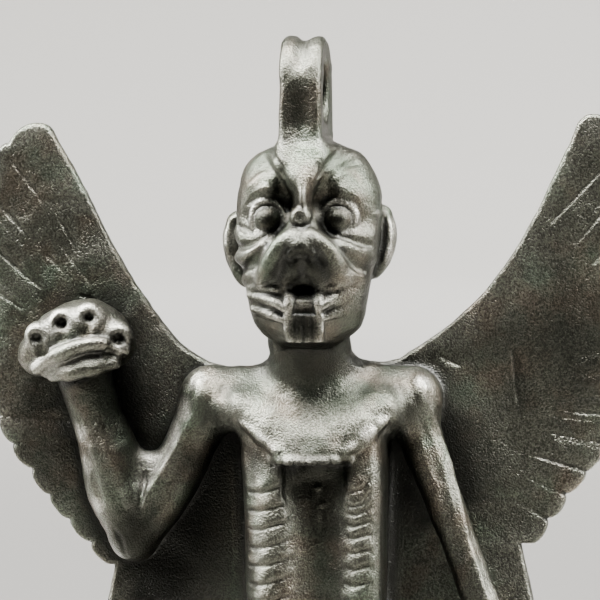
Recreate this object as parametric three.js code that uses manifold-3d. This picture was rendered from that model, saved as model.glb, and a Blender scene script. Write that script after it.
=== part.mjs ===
// A small cast bronze figure of a winged demon, standing on a low base, with a suspension loop on its head.
// Millimetres, +Z up, the face looks along -Y. The origin is under the middle of the base.
// Everything is one casting, so every form is joined into a single solid.
import * as THREE from "three";
import { mergeVertices } from "three/addons/utils/BufferGeometryUtils.js";
import Module from "manifold-3d";

// Overall size
const HEIGHT = 150;
const SPAN = 86;
const DEPTH = 56;

// Levels up the figure
const BASE_TOP = 5;
const ANKLE = 11;
const KNEE = 40;
const HIP = 62;
const WAIST = 74;
const LEDGE = 98.4;
const SHOULDER = 105.8;
const CHIN = 112.8;
const MOUTH = 119.2;
const EYE = 127.6;
const CROWN = 136.2;

// Sizes that several parts share
const BASE_WIDTH = 48;
const HEAD_WIDTH = 17.6;
const LOOP_WIDTH = 5.2;
const LOOP_DEPTH = 13.5;
const WING_THICK = 2;
const WING_Y = 3.2;
const TRUNK_X = 0.6;
const LIMB_SIDES = 9;

const wasm = await Module();
wasm.setup();

// Solids

// A closed three.js geometry as a solid, with the faces that have no area left out.
function solidOf(geometry) {
  const plain = geometry.index ? geometry.toNonIndexed() : geometry.clone();
  plain.deleteAttribute("normal");
  plain.deleteAttribute("uv");
  const merged = mergeVertices(plain, 1e-4);
  const index = merged.index.array;
  const kept = [];
  for (let i = 0; i < index.length; i += 3) {
    const [a, b, c] = index.subarray(i, i + 3);
    if (a !== b && b !== c && c !== a) kept.push(a, b, c);
  }
  const mesh = new wasm.Mesh({
    numProp: 3,
    vertProperties: merged.attributes.position.array,
    triVerts: new Uint32Array(kept),
  });
  const made = new wasm.Manifold(mesh);
  if (made.volume() > 0) return made;
  for (let i = 0; i < kept.length; i += 3) [kept[i + 1], kept[i + 2]] = [kept[i + 2], kept[i + 1]];
  mesh.triVerts = new Uint32Array(kept);
  return new wasm.Manifold(mesh);
}

function join(solids) {
  return solids.reduce((whole, piece) => whole.add(piece));
}

function carve(whole, tools) {
  return tools.reduce((left, tool) => left.subtract(tool), whole);
}

function geometryOf(solid) {
  const { numProp, numVert, vertProperties, triVerts } = solid.getMesh();
  const positions = new Float32Array(numVert * 3);
  for (let i = 0; i < numVert; i++) {
    positions.set(vertProperties.subarray(i * numProp, i * numProp + 3), i * 3);
  }
  const geometry = new THREE.BufferGeometry();
  geometry.setAttribute("position", new THREE.BufferAttribute(positions, 3));
  geometry.setIndex(new THREE.BufferAttribute(new Uint32Array(triVerts), 1));
  geometry.computeVertexNormals();
  return geometry;
}

// Forms

// Values between the rows of a table, by a Catmull-Rom spline through each column.
function rowAt(rows, t) {
  const place = THREE.MathUtils.clamp(t, 0, 1) * (rows.length - 1);
  const i = Math.min(Math.floor(place), rows.length - 2);
  const f = place - i;
  const row = (k) => rows[THREE.MathUtils.clamp(k, 0, rows.length - 1)];
  return rows[0].map((_, c) => {
    const [p0, p1, p2, p3] = [row(i - 1)[c], row(i)[c], row(i + 1)[c], row(i + 2)[c]];
    const bend = 2 * p0 - 5 * p1 + 4 * p2 - p3 + (3 * p1 - p0 - 3 * p2 + p3) * f;
    return p1 + 0.5 * f * (p2 - p0 + f * bend);
  });
}

// A cylinder's vertices moved by a function of angle, height from 0 to 1 and share of the radius.
function shaped(sides, rows, place) {
  const geometry = new THREE.CylinderGeometry(1, 1, 1, sides, rows);
  const positions = geometry.attributes.position;
  for (let i = 0; i < positions.count; i++) {
    const [x, y, z] = [positions.getX(i), positions.getY(i), positions.getZ(i)];
    const point = place(Math.atan2(z, x), y + 0.5, Math.min(1, Math.hypot(x, z)));
    positions.setXYZ(i, ...point);
  }
  return solidOf(geometry);
}

// An upright body from rows of [height, half width, front y, back y]. A squareness over 2 flattens its faces.
function column(table, { sides = 24, rows = 14, squareness = 2.3 } = {}) {
  const power = 2 / squareness;
  const bent = (v) => Math.sign(v) * Math.abs(v) ** power;
  return shaped(sides, rows, (angle, t, r) => {
    const [z, half, front, back] = rowAt(table, t);
    const across = bent(Math.cos(angle)) * half * r;
    const along = (front + back) / 2 + bent(Math.sin(angle)) * ((back - front) / 2) * r;
    return [across, along, z];
  });
}

// A round-ended limb through rows of [x, y, z, radius].
function limb(table, { sides = LIMB_SIDES, rows = 3, cap = 2 } = {}) {
  const centre = (t) => new THREE.Vector3(...rowAt(table, t).slice(0, 3));
  const rings = [];
  for (let k = 0; k <= cap; k++) rings.push([0, (k / cap) * 90 - 90]);
  for (let k = 1; k < rows; k++) rings.push([k / rows, 0]);
  for (let k = 0; k <= cap; k++) rings.push([1, (k / cap) * 90]);
  const placed = rings.map(([t, turn]) => {
    const step = 0.02;
    const tangent = centre(Math.min(t + step, 1)).sub(centre(Math.max(t - step, 0))).normalize();
    const radius = rowAt(table, t)[3];
    const bend = THREE.MathUtils.degToRad(turn);
    const middle = centre(t).addScaledVector(tangent, Math.sin(bend) * radius);
    const aside = Math.abs(tangent.z) > 0.9 ? new THREE.Vector3(0, 1, 0) : new THREE.Vector3(0, 0, 1);
    const u = aside.clone().cross(tangent).normalize();
    const v = tangent.clone().cross(u);
    return { middle, u, v, radius: radius * Math.cos(bend) };
  });
  return shaped(sides, placed.length - 1, (angle, t, r) => {
    const { middle, u, v, radius } = placed[Math.round(t * (placed.length - 1))];
    const reach = radius < 1e-6 ? 0 : radius * r;
    return middle
      .clone()
      .addScaledVector(u, Math.cos(angle) * reach)
      .addScaledVector(v, Math.sin(angle) * reach)
      .toArray();
  });
}

// An ellipsoid at a place, with radii, turned about Y by an angle in degrees.
function lump([x, y, z], [rx, ry, rz], { aboutY = 0, sides = 10, rows = 7 } = {}) {
  const geometry = new THREE.SphereGeometry(1, sides, rows);
  geometry.rotateX(Math.PI / 2);
  geometry.scale(rx, ry, rz);
  geometry.rotateY(THREE.MathUtils.degToRad(aboutY));
  return solidOf(geometry.translate(x, y, z));
}

// The same rows on the other side of the figure.
function mirrored(table) {
  return table.map(([x, ...rest]) => [-x, ...rest]);
}

// Runs a maker for the right side, side 1, and the left side, side -1.
function bothSides(make) {
  return [1, -1].flatMap(make);
}

// Base, legs and feet

function base() {
  const corner = 4;
  const [w, d] = [BASE_WIDTH / 2, DEPTH / 2];
  const outline = new THREE.Shape();
  outline.moveTo(corner - w, -d);
  outline.absarc(w - corner, corner - d, corner, -Math.PI / 2, 0);
  outline.absarc(w - corner, d - corner, corner, 0, Math.PI / 2);
  outline.absarc(corner - w, d - corner, corner, Math.PI / 2, Math.PI);
  outline.absarc(corner - w, corner - d, corner, Math.PI, 1.5 * Math.PI);
  return solidOf(new THREE.ExtrudeGeometry(outline, { depth: BASE_TOP, bevelEnabled: false, curveSegments: 5 }));
}

function leg(side) {
  const thigh = [
    [5.0, 0, HIP, 5.2],
    [6.2, -2.4, (HIP + KNEE) / 2 + 1, 5.0],
    [7.2, -4.6, KNEE, 3.7],
  ];
  const shank = [
    [7.2, -4.4, KNEE, 3.6],
    [7.6, -1.4, 30, 3.0],
    [8.2, 0.6, 19, 2.3],
    [8.6, 0.4, ANKLE, 2.7],
  ];
  return [thigh, shank].map((table) => limb(side > 0 ? table : mirrored(table)));
}

// A bird's foot: three toes forward and one back, each ending in a hooked claw.
function foot(side) {
  const [x, y] = [8.6, -1];
  const toeRadius = 1.9;
  const toes = [-24, 2, 28].map((turn) => {
    const a = THREE.MathUtils.degToRad(turn);
    const at = (reach, z, r) => [x + Math.sin(a) * reach, y - Math.cos(a) * reach, z, r];
    return [
      at(0, ANKLE - 2, 2.6),
      at(6, BASE_TOP + 3.0, toeRadius),
      at(11, BASE_TOP + 3.2, toeRadius),
      at(16, BASE_TOP + 1.6, 1.3),
      at(18.5, BASE_TOP + 0.2, 0.6),
    ];
  });
  const spur = [
    [x, y, ANKLE - 2, 2.6],
    [x + 0.5, y + 6, BASE_TOP + 2.4, 1.8],
    [x + 0.8, y + 11, BASE_TOP + 0.4, 0.8],
  ];
  return [...toes, spur].map((table) => limb(side > 0 ? table : mirrored(table), { sides: 5, rows: 3, cap: 1 }));
}

// Body

function trunk() {
  const torso = [
    [HIP - 6, 5.5, -5.2, 4.4],
    [HIP, 9.0, -7.0, 6.2],
    [HIP + 6, 8.8, -7.2, 5.8],
    [WAIST, 7.9, -6.8, 5.0],
    [82, 8.2, -7.2, 4.8],
    [90, 8.5, -7.6, 4.9],
    [LEDGE, 8.8, -7.8, 5.0],
    [104, 9.4, -6.6, 5.0],
    [109, 6.5, -3.4, 4.2],
  ];
  const hollow = [
    [0.2, -9.8, HIP + 6, 1.6],
    [0.2, -9.6, 82, 2.8],
    [0.2, -9.8, LEDGE - 2, 3.0],
  ];
  const neck = [
    [0.2, -0.6, 102, 6.2],
    [0.2, -1.8, 108, 5.3],
    [0.2, -3.8, 116, 5.2],
  ];
  const yoke = [
    [-12.6, 0.4, SHOULDER, 3.4],
    [-6, -0.4, SHOULDER + 0.3, 4.0],
    [6, -0.4, SHOULDER + 0.5, 4.0],
    [12.4, 0.4, SHOULDER + 0.4, 3.4],
  ];
  const body = column(torso, { sides: 18, rows: 9, squareness: 2.6 }).translate([TRUNK_X, 0, 0]);
  return [
    body.subtract(limb(hollow, { sides: 8, rows: 3, cap: 1 })),
    limb(neck, { sides: 12, rows: 2, cap: 1 }),
    limb(yoke, { rows: 3 }),
  ];
}

// The breast stands out as a plate, flat in front, with a sharp lower edge that rises to the armpits.
function breast() {
  const plate = [
    [LEDGE, 4.4, -10.4, 0],
    [LEDGE + 2.6, 6.9, -10.0, 0],
    [LEDGE + 5.2, 9.3, -8.6, 1],
    [LEDGE + 8.2, 11.4, -5.2, 2],
    [LEDGE + 11.2, 8.0, -2.6, 3],
  ];
  return [column(plate, { sides: 16, rows: 4, squareness: 3 }).translate([TRUNK_X + 0.2, 0, 0])];
}

// The starved ribs: a column of rolls on each side of the sunken belly, each rising towards the flank.
function ribs(side) {
  const [top, pitch, count] = side > 0 ? [97.2, 2.0, 10] : [95.0, 2.3, 9];
  const table = Array.from({ length: 2 * count + 1 }, (_, i) => {
    const radius = i % 2 ? 2.9 : 2.3;
    return [side * 5.6, -5.1, top - (i * pitch) / 2, radius];
  });
  const rise = 0.32 * side;
  const column = limb(table, { sides: 8, rows: 2 * count, cap: 1 });
  return column.transform([1, 0, rise, 0, 0, 1, 0, 0, 0, 0, 1, 0, TRUNK_X, 0, -5.6 * rise * side, 1]);
}

// The segmented tail lies up the back and ends in a sting.
function tail() {
  const count = 9;
  const table = Array.from({ length: 2 * count + 1 }, (_, i) => {
    const t = i / (2 * count);
    const radius = THREE.MathUtils.lerp(3.6, 2.4, t) - (i % 2 ? 0 : 0.7);
    return [0, 5.4 + 3.0 * Math.sin(Math.PI * t), HIP - 4 + 40 * t, radius];
  });
  const sting = [
    [0, 5.4, HIP + 34, 2.2],
    [0, 6.8, HIP + 40, 1.5],
    [0, 5.0, HIP + 46, 0.7],
  ];
  return [limb(table, { sides: 7, rows: 2 * count, cap: 1 }), limb(sting, { sides: 6, cap: 1 })];
}

// Arms and paws

// A paw in its own frame, palm towards -Y and toes up: pads across the palm and four curled toes.
function paw() {
  const toes = [
    [-5.2, 2.0],
    [-2.0, 3.8],
    [1.4, 4.6],
    [5.2, 2.0],
  ].map(([x, z]) => [
    [x * 0.8, -0.4, z - 1.4, 1.6],
    [x * 1.04, -2.0, z + 0.7, 1.8],
    [x, -4.6, z + 0.5, 1.6],
    [x, -5.9, z - 0.9, 0.9],
  ]);
  const pad = [
    [-5.6, -3.4, -1.2, 1.0],
    [-2.6, -4.4, 1.0, 1.2],
    [0.2, -4.6, 1.7, 1.2],
    [5.6, -3.6, 1.0, 1.0],
  ];
  const heel = [
    [-3.7, -3.4, -2.6, 0.9],
    [0.1, -4.2, -1.5, 1.4],
    [4.1, -3.6, -0.3, 1.0],
  ];
  return [
    lump([0, -0.8, 0], [6.2, 3.0, 4.4], { sides: 9, rows: 6 }),
    ...toes.map((table) => limb(table, { sides: 5, rows: 3, cap: 1 })),
    limb(pad, { sides: 6, rows: 4, cap: 1 }),
    limb(heel, { sides: 6, rows: 3, cap: 1 }),
  ];
}

// The right arm is folded up with its paw raised, palm forward.
function raisedArm() {
  const upper = [
    [-12.4, 0.0, SHOULDER, 3.5],
    [-15.0, 0.6, 99.6, 2.9],
    [-18.6, 1.0, 92.8, 2.5],
    [-21.6, 1.0, 88.4, 2.5],
  ];
  const lower = [
    [-21.8, 1.0, 88.4, 2.4],
    [-23.6, 0.8, 93.6, 2.9],
    [-25.4, 0.6, 99.2, 3.2],
    [-26.8, 0.2, 103.8, 2.9],
    [-27.8, -0.2, 108, 3.0],
  ];
  const hand = paw().map((piece) => piece.translate([-28.6, -0.4, 110.9]));
  return [limb(upper), limb(lower, { rows: 4 }), ...hand];
}

// The left arm hangs beside the body, bends outward at the elbow and ends in a lowered paw.
function loweredArm() {
  const upper = [
    [12.2, 0.4, SHOULDER, 3.3],
    [14.2, -0.2, 100, 2.5],
    [16.4, -0.6, 94.2, 2.2],
    [18.7, -1.0, 87.2, 2.1],
  ];
  const lower = [
    [18.6, -1.0, 87.6, 2.0],
    [21.4, -1.8, 80.5, 2.3],
    [24.6, -2.6, 73.5, 2.4],
    [27.4, -3.2, 67.4, 2.3],
  ];
  const turn = 154;
  const hand = paw().map((piece) => piece.mirror([1, 0, 0]).rotate([0, turn, 0]).translate([29.4, -3.4, 63.0]));
  return [limb(upper), limb(lower), ...hand];
}

// Wings

// A feathered edge: tips between notches that follow a curve, each tip an arc that stands out by a bulge.
function scallops(outline, curve, count, bulge) {
  const notches = curve.getSpacedPoints(count);
  for (let i = 0; i < count; i++) {
    const [a, b] = [notches[i], notches[i + 1]];
    const out = new THREE.Vector2(b.y - a.y, a.x - b.x).normalize().multiplyScalar(-bulge);
    const lead = a.clone().lerp(b, 0.1).add(out);
    const trail = a.clone().lerp(b, 0.85).add(out);
    outline.bezierCurveTo(lead.x, lead.y, trail.x, trail.y, b.x, b.y);
  }
  return notches;
}

// The cut lines that part the feathers: each runs in from its notch along the fan, from one heading to another.
function quills(notches, headings, length, y) {
  const side = 0.75;
  return notches.slice(1, -1).map((notch, i) => {
    const t = i / Math.max(1, notches.length - 3);
    const heading = THREE.MathUtils.degToRad(THREE.MathUtils.lerp(...headings, t));
    const geometry = new THREE.BoxGeometry(length, side, side);
    geometry.rotateX(Math.PI / 4);
    geometry.translate(-length / 2 - 0.8, 0, 0);
    geometry.rotateY(-heading);
    return solidOf(geometry.translate(notch.x, y, notch.y));
  });
}

function plate(outline, y) {
  const bevel = 0.4;
  const geometry = new THREE.ExtrudeGeometry(outline, {
    depth: WING_THICK - 2 * bevel,
    bevelThickness: bevel,
    bevelSize: bevel,
    bevelOffset: -bevel,
    bevelSegments: 1,
    curveSegments: 2,
  });
  geometry.rotateX(Math.PI / 2);
  return solidOf(geometry.translate(0, y + WING_THICK - bevel, 0));
}

// An upper wing, drawn as on the right side: the bare leading edge up to the tip, then the feather ends.
function upperWing({ lead, notch, trail }) {
  const point = ([x, z]) => new THREE.Vector2(x, z);
  const outline = new THREE.Shape();
  outline.moveTo(-0.5, trail.at(-1)[1]);
  outline.lineTo(-0.5, 108);
  outline.lineTo(...lead[0]);
  outline.splineThru(lead.slice(1).map(point));
  const [x, z] = lead.at(-1);
  outline.bezierCurveTo(x + 1.0, z + 1.6, notch[0] - 1.4, z + 1.6, ...notch);
  const edge = new THREE.SplineCurve([notch, ...trail].map(point));
  const notches = scallops(outline, edge, 15, 1.0);
  outline.lineTo(-0.5, trail.at(-1)[1]);
  return { outline, notches, headings: [54, -30] };
}

// A lower wing, drawn as on the right side, hangs down and out behind the leg.
function lowerWing({ top, hem }) {
  const outline = new THREE.Shape();
  outline.moveTo(-0.5, 62);
  outline.lineTo(-0.5, 92);
  outline.lineTo(top, 92);
  outline.bezierCurveTo(top + 2.4, 80, hem - 0.2, 62, hem, 48);
  const edge = new THREE.SplineCurve([
    new THREE.Vector2(hem, 48),
    new THREE.Vector2(hem - 3.4, 36),
    new THREE.Vector2(hem - 11, 33.5),
    new THREE.Vector2(hem - 18, 38),
  ]);
  const notches = scallops(outline, edge, 8, 1.0);
  outline.bezierCurveTo(9, 48, 5, 56, -0.5, 62);
  return { outline, notches, headings: [-66, -104] };
}

function wing(drawn, side) {
  const made = carve(plate(drawn.outline, WING_Y), quills(drawn.notches, drawn.headings, 7, WING_Y));
  return side > 0 ? made : made.mirror([1, 0, 0]);
}

function wings() {
  const left = upperWing({
    lead: [[10.5, 110.4], [15.8, 114], [21.6, 119.4], [27.7, 129.2], [32.4, 139.4]],
    notch: [37.2, 138.2],
    trail: [[41.0, 129], [SPAN / 2 - 0.7, 118], [40.2, 108], [35.4, 99.4], [30.8, 94], [26.6, 87.8]],
  });
  const right = upperWing({
    lead: [[10.5, 109.2], [16.2, 111.8], [22.9, 120.8], [29.1, 132.4], [32.4, 138.0]],
    notch: [37.8, 136.6],
    trail: [[41.3, 128.5], [SPAN / 2 - 0.7, 118], [41, 109.5], [38.4, 102], [34.7, 96.2], [30.1, 90.2], [24.8, 84.8]],
  });
  return [
    wing(left, 1),
    wing(right, -1),
    wing(lowerWing({ top: 24.6, hem: 31.5 }), 1),
    wing(lowerWing({ top: 23.2, hem: 29.5 }), -1),
  ];
}

// Head

function skull() {
  const half = HEAD_WIDTH / 2;
  const table = [
    [CHIN, 3.6, -12.0, -5.0],
    [CHIN + 1.4, 6.0, -12.6, -2.4],
    [116.2, half - 1.9, -12.4, 0.0],
    [118.8, half - 1.6, -12.0, 1.4],
    [121.8, half - 1.1, -12.2, 2.6],
    [124.8, half - 0.4, -12.0, 3.4],
    [127.4, half, -11.8, 3.8],
    [130.2, half, -11.6, 3.6],
    [132.6, half - 0.6, -11.0, 2.8],
    [134.6, half - 1.6, -9.8, 1.4],
    [CROWN, half - 4.4, -7.6, -1.0],
  ];
  return [column(table, { sides: 16, rows: 10, squareness: 2.5 })];
}

// Brows, bulging eyes in rimmed lids, and the folds that sweep back from the muzzle.
function eyesAndFolds(side) {
  const tables = [
    [
      [0.9, -11.8, 130.2, 0.9],
      [2.5, -11.1, 132.8, 1.2],
      [4.2, -9.2, 135.0, 1.1],
    ],
    [
      [2.2, -11.6, 130.6, 1.0],
      [5.2, -10.9, 131.4, 1.4],
      [7.9, -7.0, 129.8, 1.1],
    ],
    [
      [2.4, -12.8, 125.8, 1.1],
      [5.6, -11.2, 124.2, 1.1],
      [8.0, -6.8, 124.6, 0.8],
    ],
    [
      [4.0, -12.2, 123.4, 1.3],
      [6.0, -10.2, 121.4, 1.2],
      [7.0, -6.8, 120.4, 0.9],
    ],
  ];
  const [x, y] = [side * 4.5, -11.3];
  const lid = new THREE.TorusGeometry(1.9, 0.5, 4, 8);
  lid.rotateX(Math.PI / 2);
  lid.rotateZ(side * THREE.MathUtils.degToRad(20));
  return [
    ...tables.map((table) => limb(side > 0 ? table : mirrored(table), { sides: 5, rows: 2, cap: 1 })),
    lump([x, y, EYE], [1.5, 1.9, 1.5], { sides: 8, rows: 6 }),
    solidOf(lid.translate(x, y - 0.5, EYE)),
  ];
}

// The ear is a cupped oval that faces forward.
function ear(side) {
  const outer = lump([side * 8.9, -1.6, 124.6], [1.7, 1.3, 4.0], { aboutY: side * 8, sides: 8, rows: 6 });
  const cup = lump([side * 9.4, -3.1, 125.2], [0.9, 1.0, 2.4], { aboutY: side * 8, sides: 6, rows: 4 });
  return [outer.subtract(cup)];
}

function muzzle() {
  const lip = [
    [-5.7, -9.4, MOUTH - 1.2, 0.8],
    [-3.2, -12.6, MOUTH - 2.8, 0.9],
    [3.2, -12.6, MOUTH - 2.8, 0.9],
    [5.9, -9.4, MOUTH - 0.8, 0.8],
  ];
  return [
    lump([0, -12.0, 122.6], [5.6, 4.2, 3.3], { sides: 10, rows: 6 }),
    lump([0, -15.0, 124.0], [2.2, 1.5, 1.6], { sides: 8, rows: 5 }),
    lump([0.2, -12.2, EYE + 0.3], [1.1, 1.6, 1.1], { sides: 8, rows: 5 }),
    limb(lip, { sides: 6, rows: 3, cap: 1 }),
  ];
}

function jaws() {
  const beard = new THREE.BoxGeometry(4.4, 3, 3.6);
  beard.translate(-0.1, -12.0, CHIN + 1.8);
  const fang = (x) => lump([x, -13.0, MOUTH - 1.4], [0.7, 0.8, 1.3], { sides: 5, rows: 3 });
  return [solidOf(beard), fang(-2.4), fang(2.2)];
}

function head() {
  const mouth = lump([0, -15.0, MOUTH - 0.2], [4.2, 4.4, 1.5], { sides: 10, rows: 6 });
  const solid = carve(join([...skull(), ...muzzle(), ...bothSides(eyesAndFolds)]), [mouth]);
  return [solid, ...jaws(), ...bothSides(ear)];
}

// The loop is a broad strap bent into an arch, open from side to side, with a groove over its top.
function loop() {
  const [middle, half, rise] = [-5.4, LOOP_DEPTH / 2, HEIGHT - CROWN];
  const [foot, eye, bevel, crest] = [1.5, 3.3, 0.5, 1.1133];
  const arch = new THREE.Shape();
  arch.moveTo(-half - 0.2, -foot);
  arch.lineTo(half + 0.2, -foot);
  arch.bezierCurveTo(half - 0.4, rise * 0.3, half, rise * 0.55, half * 0.93, rise * 0.66);
  arch.bezierCurveTo(half * 0.8, rise * crest, -half * 0.8, rise * crest, -half * 0.93, rise * 0.66);
  arch.bezierCurveTo(-half, rise * 0.55, 0.4 - half, rise * 0.3, -half - 0.2, -foot);
  const hole = new THREE.Path();
  hole.absellipse(0, rise * 0.52, eye, eye * 1.1, 0, 2 * Math.PI);
  arch.holes.push(hole);
  const geometry = new THREE.ExtrudeGeometry(arch, {
    depth: LOOP_WIDTH - 2 * bevel,
    bevelThickness: bevel,
    bevelSize: bevel,
    bevelOffset: -bevel,
    bevelSegments: 1,
    curveSegments: 4,
  });
  geometry.rotateX(Math.PI / 2);
  geometry.rotateZ(Math.PI / 2);
  const strap = solidOf(geometry.translate(-LOOP_WIDTH / 2 + bevel - 0.15, middle, CROWN));
  const groove = new THREE.TorusGeometry(half + 0.1, 0.6, 4, 16);
  groove.rotateY(Math.PI / 2);
  const cut = solidOf(groove.translate(0, middle, HEIGHT - half + 0.3));
  const flare = [
    [CROWN - 2.4, 4.8, middle - 7.0, middle + 6.0],
    [CROWN - 0.6, 3.3, middle - 6.8, middle + 6.4],
    [CROWN + 1.6, 2.4, middle - 6.7, middle + 6.7],
  ];
  return [strap.subtract(cut), column(flare, { sides: 12, rows: 3, squareness: 3 })];
}

const figure = join([
  base(),
  ...bothSides(leg),
  ...bothSides(foot),
  ...trunk(),
  ...breast(),
  ...bothSides(ribs),
  ...tail(),
  ...wings(),
  ...raisedArm(),
  ...loweredArm(),
  ...head(),
  ...loop(),
]);

const bronze = new THREE.MeshStandardMaterial({ color: 0x45443a, metalness: 0.8, roughness: 0.45 });
const statuette = new THREE.Mesh(geometryOf(figure), bronze);
statuette.name = "statuette";
const part = new THREE.Group();
part.add(statuette);

export default part;
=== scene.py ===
"""Looks for the winged demon statuette: one bronze casting, sculpted as a distance field and patinated.

Forms are placed in millimetres in the part's own frame. They are pressed onto a grid of distances, the clay,
and the clay's skin becomes the mesh. Only the mesh is in metres.
"""

import logging
import math
from collections.abc import Sequence
from dataclasses import dataclass
from enum import Enum
from typing import Protocol

import bpy
import numpy as np
from mathutils import Euler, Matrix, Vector


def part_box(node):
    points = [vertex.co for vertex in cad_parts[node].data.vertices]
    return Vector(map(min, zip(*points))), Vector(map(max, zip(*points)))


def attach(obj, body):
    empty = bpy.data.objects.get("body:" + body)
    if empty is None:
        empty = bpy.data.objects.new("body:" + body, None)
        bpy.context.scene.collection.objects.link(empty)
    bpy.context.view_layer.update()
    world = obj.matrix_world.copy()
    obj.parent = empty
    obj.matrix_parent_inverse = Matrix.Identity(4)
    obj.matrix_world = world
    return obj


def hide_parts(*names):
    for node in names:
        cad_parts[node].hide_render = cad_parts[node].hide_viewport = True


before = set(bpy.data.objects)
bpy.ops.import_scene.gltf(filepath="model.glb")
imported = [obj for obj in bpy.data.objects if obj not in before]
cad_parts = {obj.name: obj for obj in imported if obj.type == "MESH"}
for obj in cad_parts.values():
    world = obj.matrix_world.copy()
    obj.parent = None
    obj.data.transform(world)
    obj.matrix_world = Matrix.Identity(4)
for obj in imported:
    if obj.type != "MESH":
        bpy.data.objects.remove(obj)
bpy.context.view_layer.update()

LOG = logging.getLogger("statuette")
MM = 0.001

# Heights over the floor, in millimetres. The figure faces -y, and its own left side is towards +x.
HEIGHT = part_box("statuette")[1][2] / MM
CROWN = 136.2
SHOULDER = 105.8
LEDGE = 98.4
HIP = 62.0
KNEE = 40.0
ANKLE = 11.0
BASE_TOP = 5.0

# The least values that anything is divided by, and the least squared length of an outline's edge.
TINY = 1e-9
SMALL = 1e-6

# How many points a curve gets for each of its knots.
KNOT_STEPS = 8

# What the mesh tells its material at each point, as shares from 0 to 1: patina in hollows, rubbed wear plus
# painted highlights, and painted shade.
SURFACE_SHARES = ("hollow", "proud_and_painted_highlight", "painted_shade")

Row = Sequence[float]
Colour = tuple[float, float, float, float] | bpy.types.NodeSocket
Grid = tuple[np.ndarray, np.ndarray, np.ndarray]


class Side(Enum):
    """The side of the figure that a tool works from."""

    FRONT = -1
    BACK = 1


def spline(rows: Sequence[Row], count: int) -> np.ndarray:
    """Points on a Catmull-Rom curve through the rows.

    Args:
        rows: Knots, each a row of coordinates and any sizes that go with them.
        count: How many points, spread evenly over the knots.

    Returns:
        An array of count rows.
    """
    knots = np.asarray(rows, float)
    place = np.linspace(0, len(knots) - 1, count)
    i = np.minimum(place.astype(int), len(knots) - 2)
    f = (place - i)[:, None]
    last = len(knots) - 1
    before, here, after, beyond = (knots[np.clip(i + k, 0, last)] for k in (-1, 0, 1, 2))
    bend = 2 * before - 5 * here + 4 * after - beyond + (3 * here - before - 3 * after + beyond) * f
    return here + 0.5 * f * (after - before + f * bend)


def evenly(points: np.ndarray, count: int) -> np.ndarray:
    """The same line again, as count + 1 points at equal distances along it.

    Args:
        points: Points along the line.
        count: How many stretches to cut it into.

    Returns:
        The new points.
    """
    length = np.concatenate([[0], np.cumsum(np.linalg.norm(np.diff(points, axis=0), axis=1))])
    at = np.linspace(0, length[-1], count + 1)
    return np.stack([np.interp(at, length, column) for column in points.T], 1)


def bezier(a: Row, b: Row, c: Row, d: Row, count: int = 10) -> np.ndarray:
    """Points on a cubic curve from a to d, with a itself left out.

    Args:
        a: Where the curve starts.
        b: The knot that it leaves a towards.
        c: The knot that it reaches d from.
        d: Where it ends.
        count: How many points.

    Returns:
        The points.
    """
    t = np.linspace(0, 1, count + 1)[1:, None]
    a, b, c, d = (np.asarray(p, float) for p in (a, b, c, d))
    return a * (1 - t) ** 3 + 3 * b * t * (1 - t) ** 2 + 3 * c * t**2 * (1 - t) + d * t**3


def mirrored(rows: Sequence[Row]) -> list[list[float]]:
    """The same rows on the other side of the figure."""
    return [[-row[0], *row[1:]] for row in rows]


def outline_distance(outline: np.ndarray, u: np.ndarray, v: np.ndarray) -> np.ndarray:
    """Signed distance from points of a plane to a closed outline, below zero inside it.

    Args:
        outline: Corners of the outline, in order.
        u: First coordinates of the points.
        v: Second coordinates, of a shape that goes with u.

    Returns:
        The distances, in the outline's unit.
    """
    near = np.full(np.broadcast_shapes(u.shape, v.shape), np.inf, np.float32)
    inside = np.zeros(near.shape, bool)
    for a, b in zip(outline, np.roll(outline, -1, 0)):
        edge = b - a
        if edge @ edge < TINY:
            continue
        du, dv = u - a[0], v - a[1]
        t = np.clip((du * edge[0] + dv * edge[1]) / (edge @ edge), 0, 1)
        near = np.minimum(near, (du - t * edge[0]) ** 2 + (dv - t * edge[1]) ** 2)
        if edge[1]:
            inside ^= ((a[1] > v) != (b[1] > v)) & (u < a[0] + dv * edge[0] / edge[1])
    return np.sqrt(near) * np.where(inside, -1, 1)


def nearest(a: np.ndarray, b: np.ndarray, grid: Grid) -> tuple[np.ndarray, np.ndarray]:
    """The point nearest to each grid place on a straight stretch.

    Args:
        a: Where the stretch starts.
        b: Where it ends.
        grid: The grid's coordinates.

    Returns:
        How far along the stretch the point lies, as a share, and the squared distance to it.
    """
    along = b[:3] - a[:3]
    dx, dy, dz = (g - p for g, p in zip(grid, a))
    t = np.clip((dx * along[0] + dy * along[1] + dz * along[2]) / max(along @ along, TINY), 0, 1)
    return t, (dx - t * along[0]) ** 2 + (dy - t * along[1]) ** 2 + (dz - t * along[2]) ** 2


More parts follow.
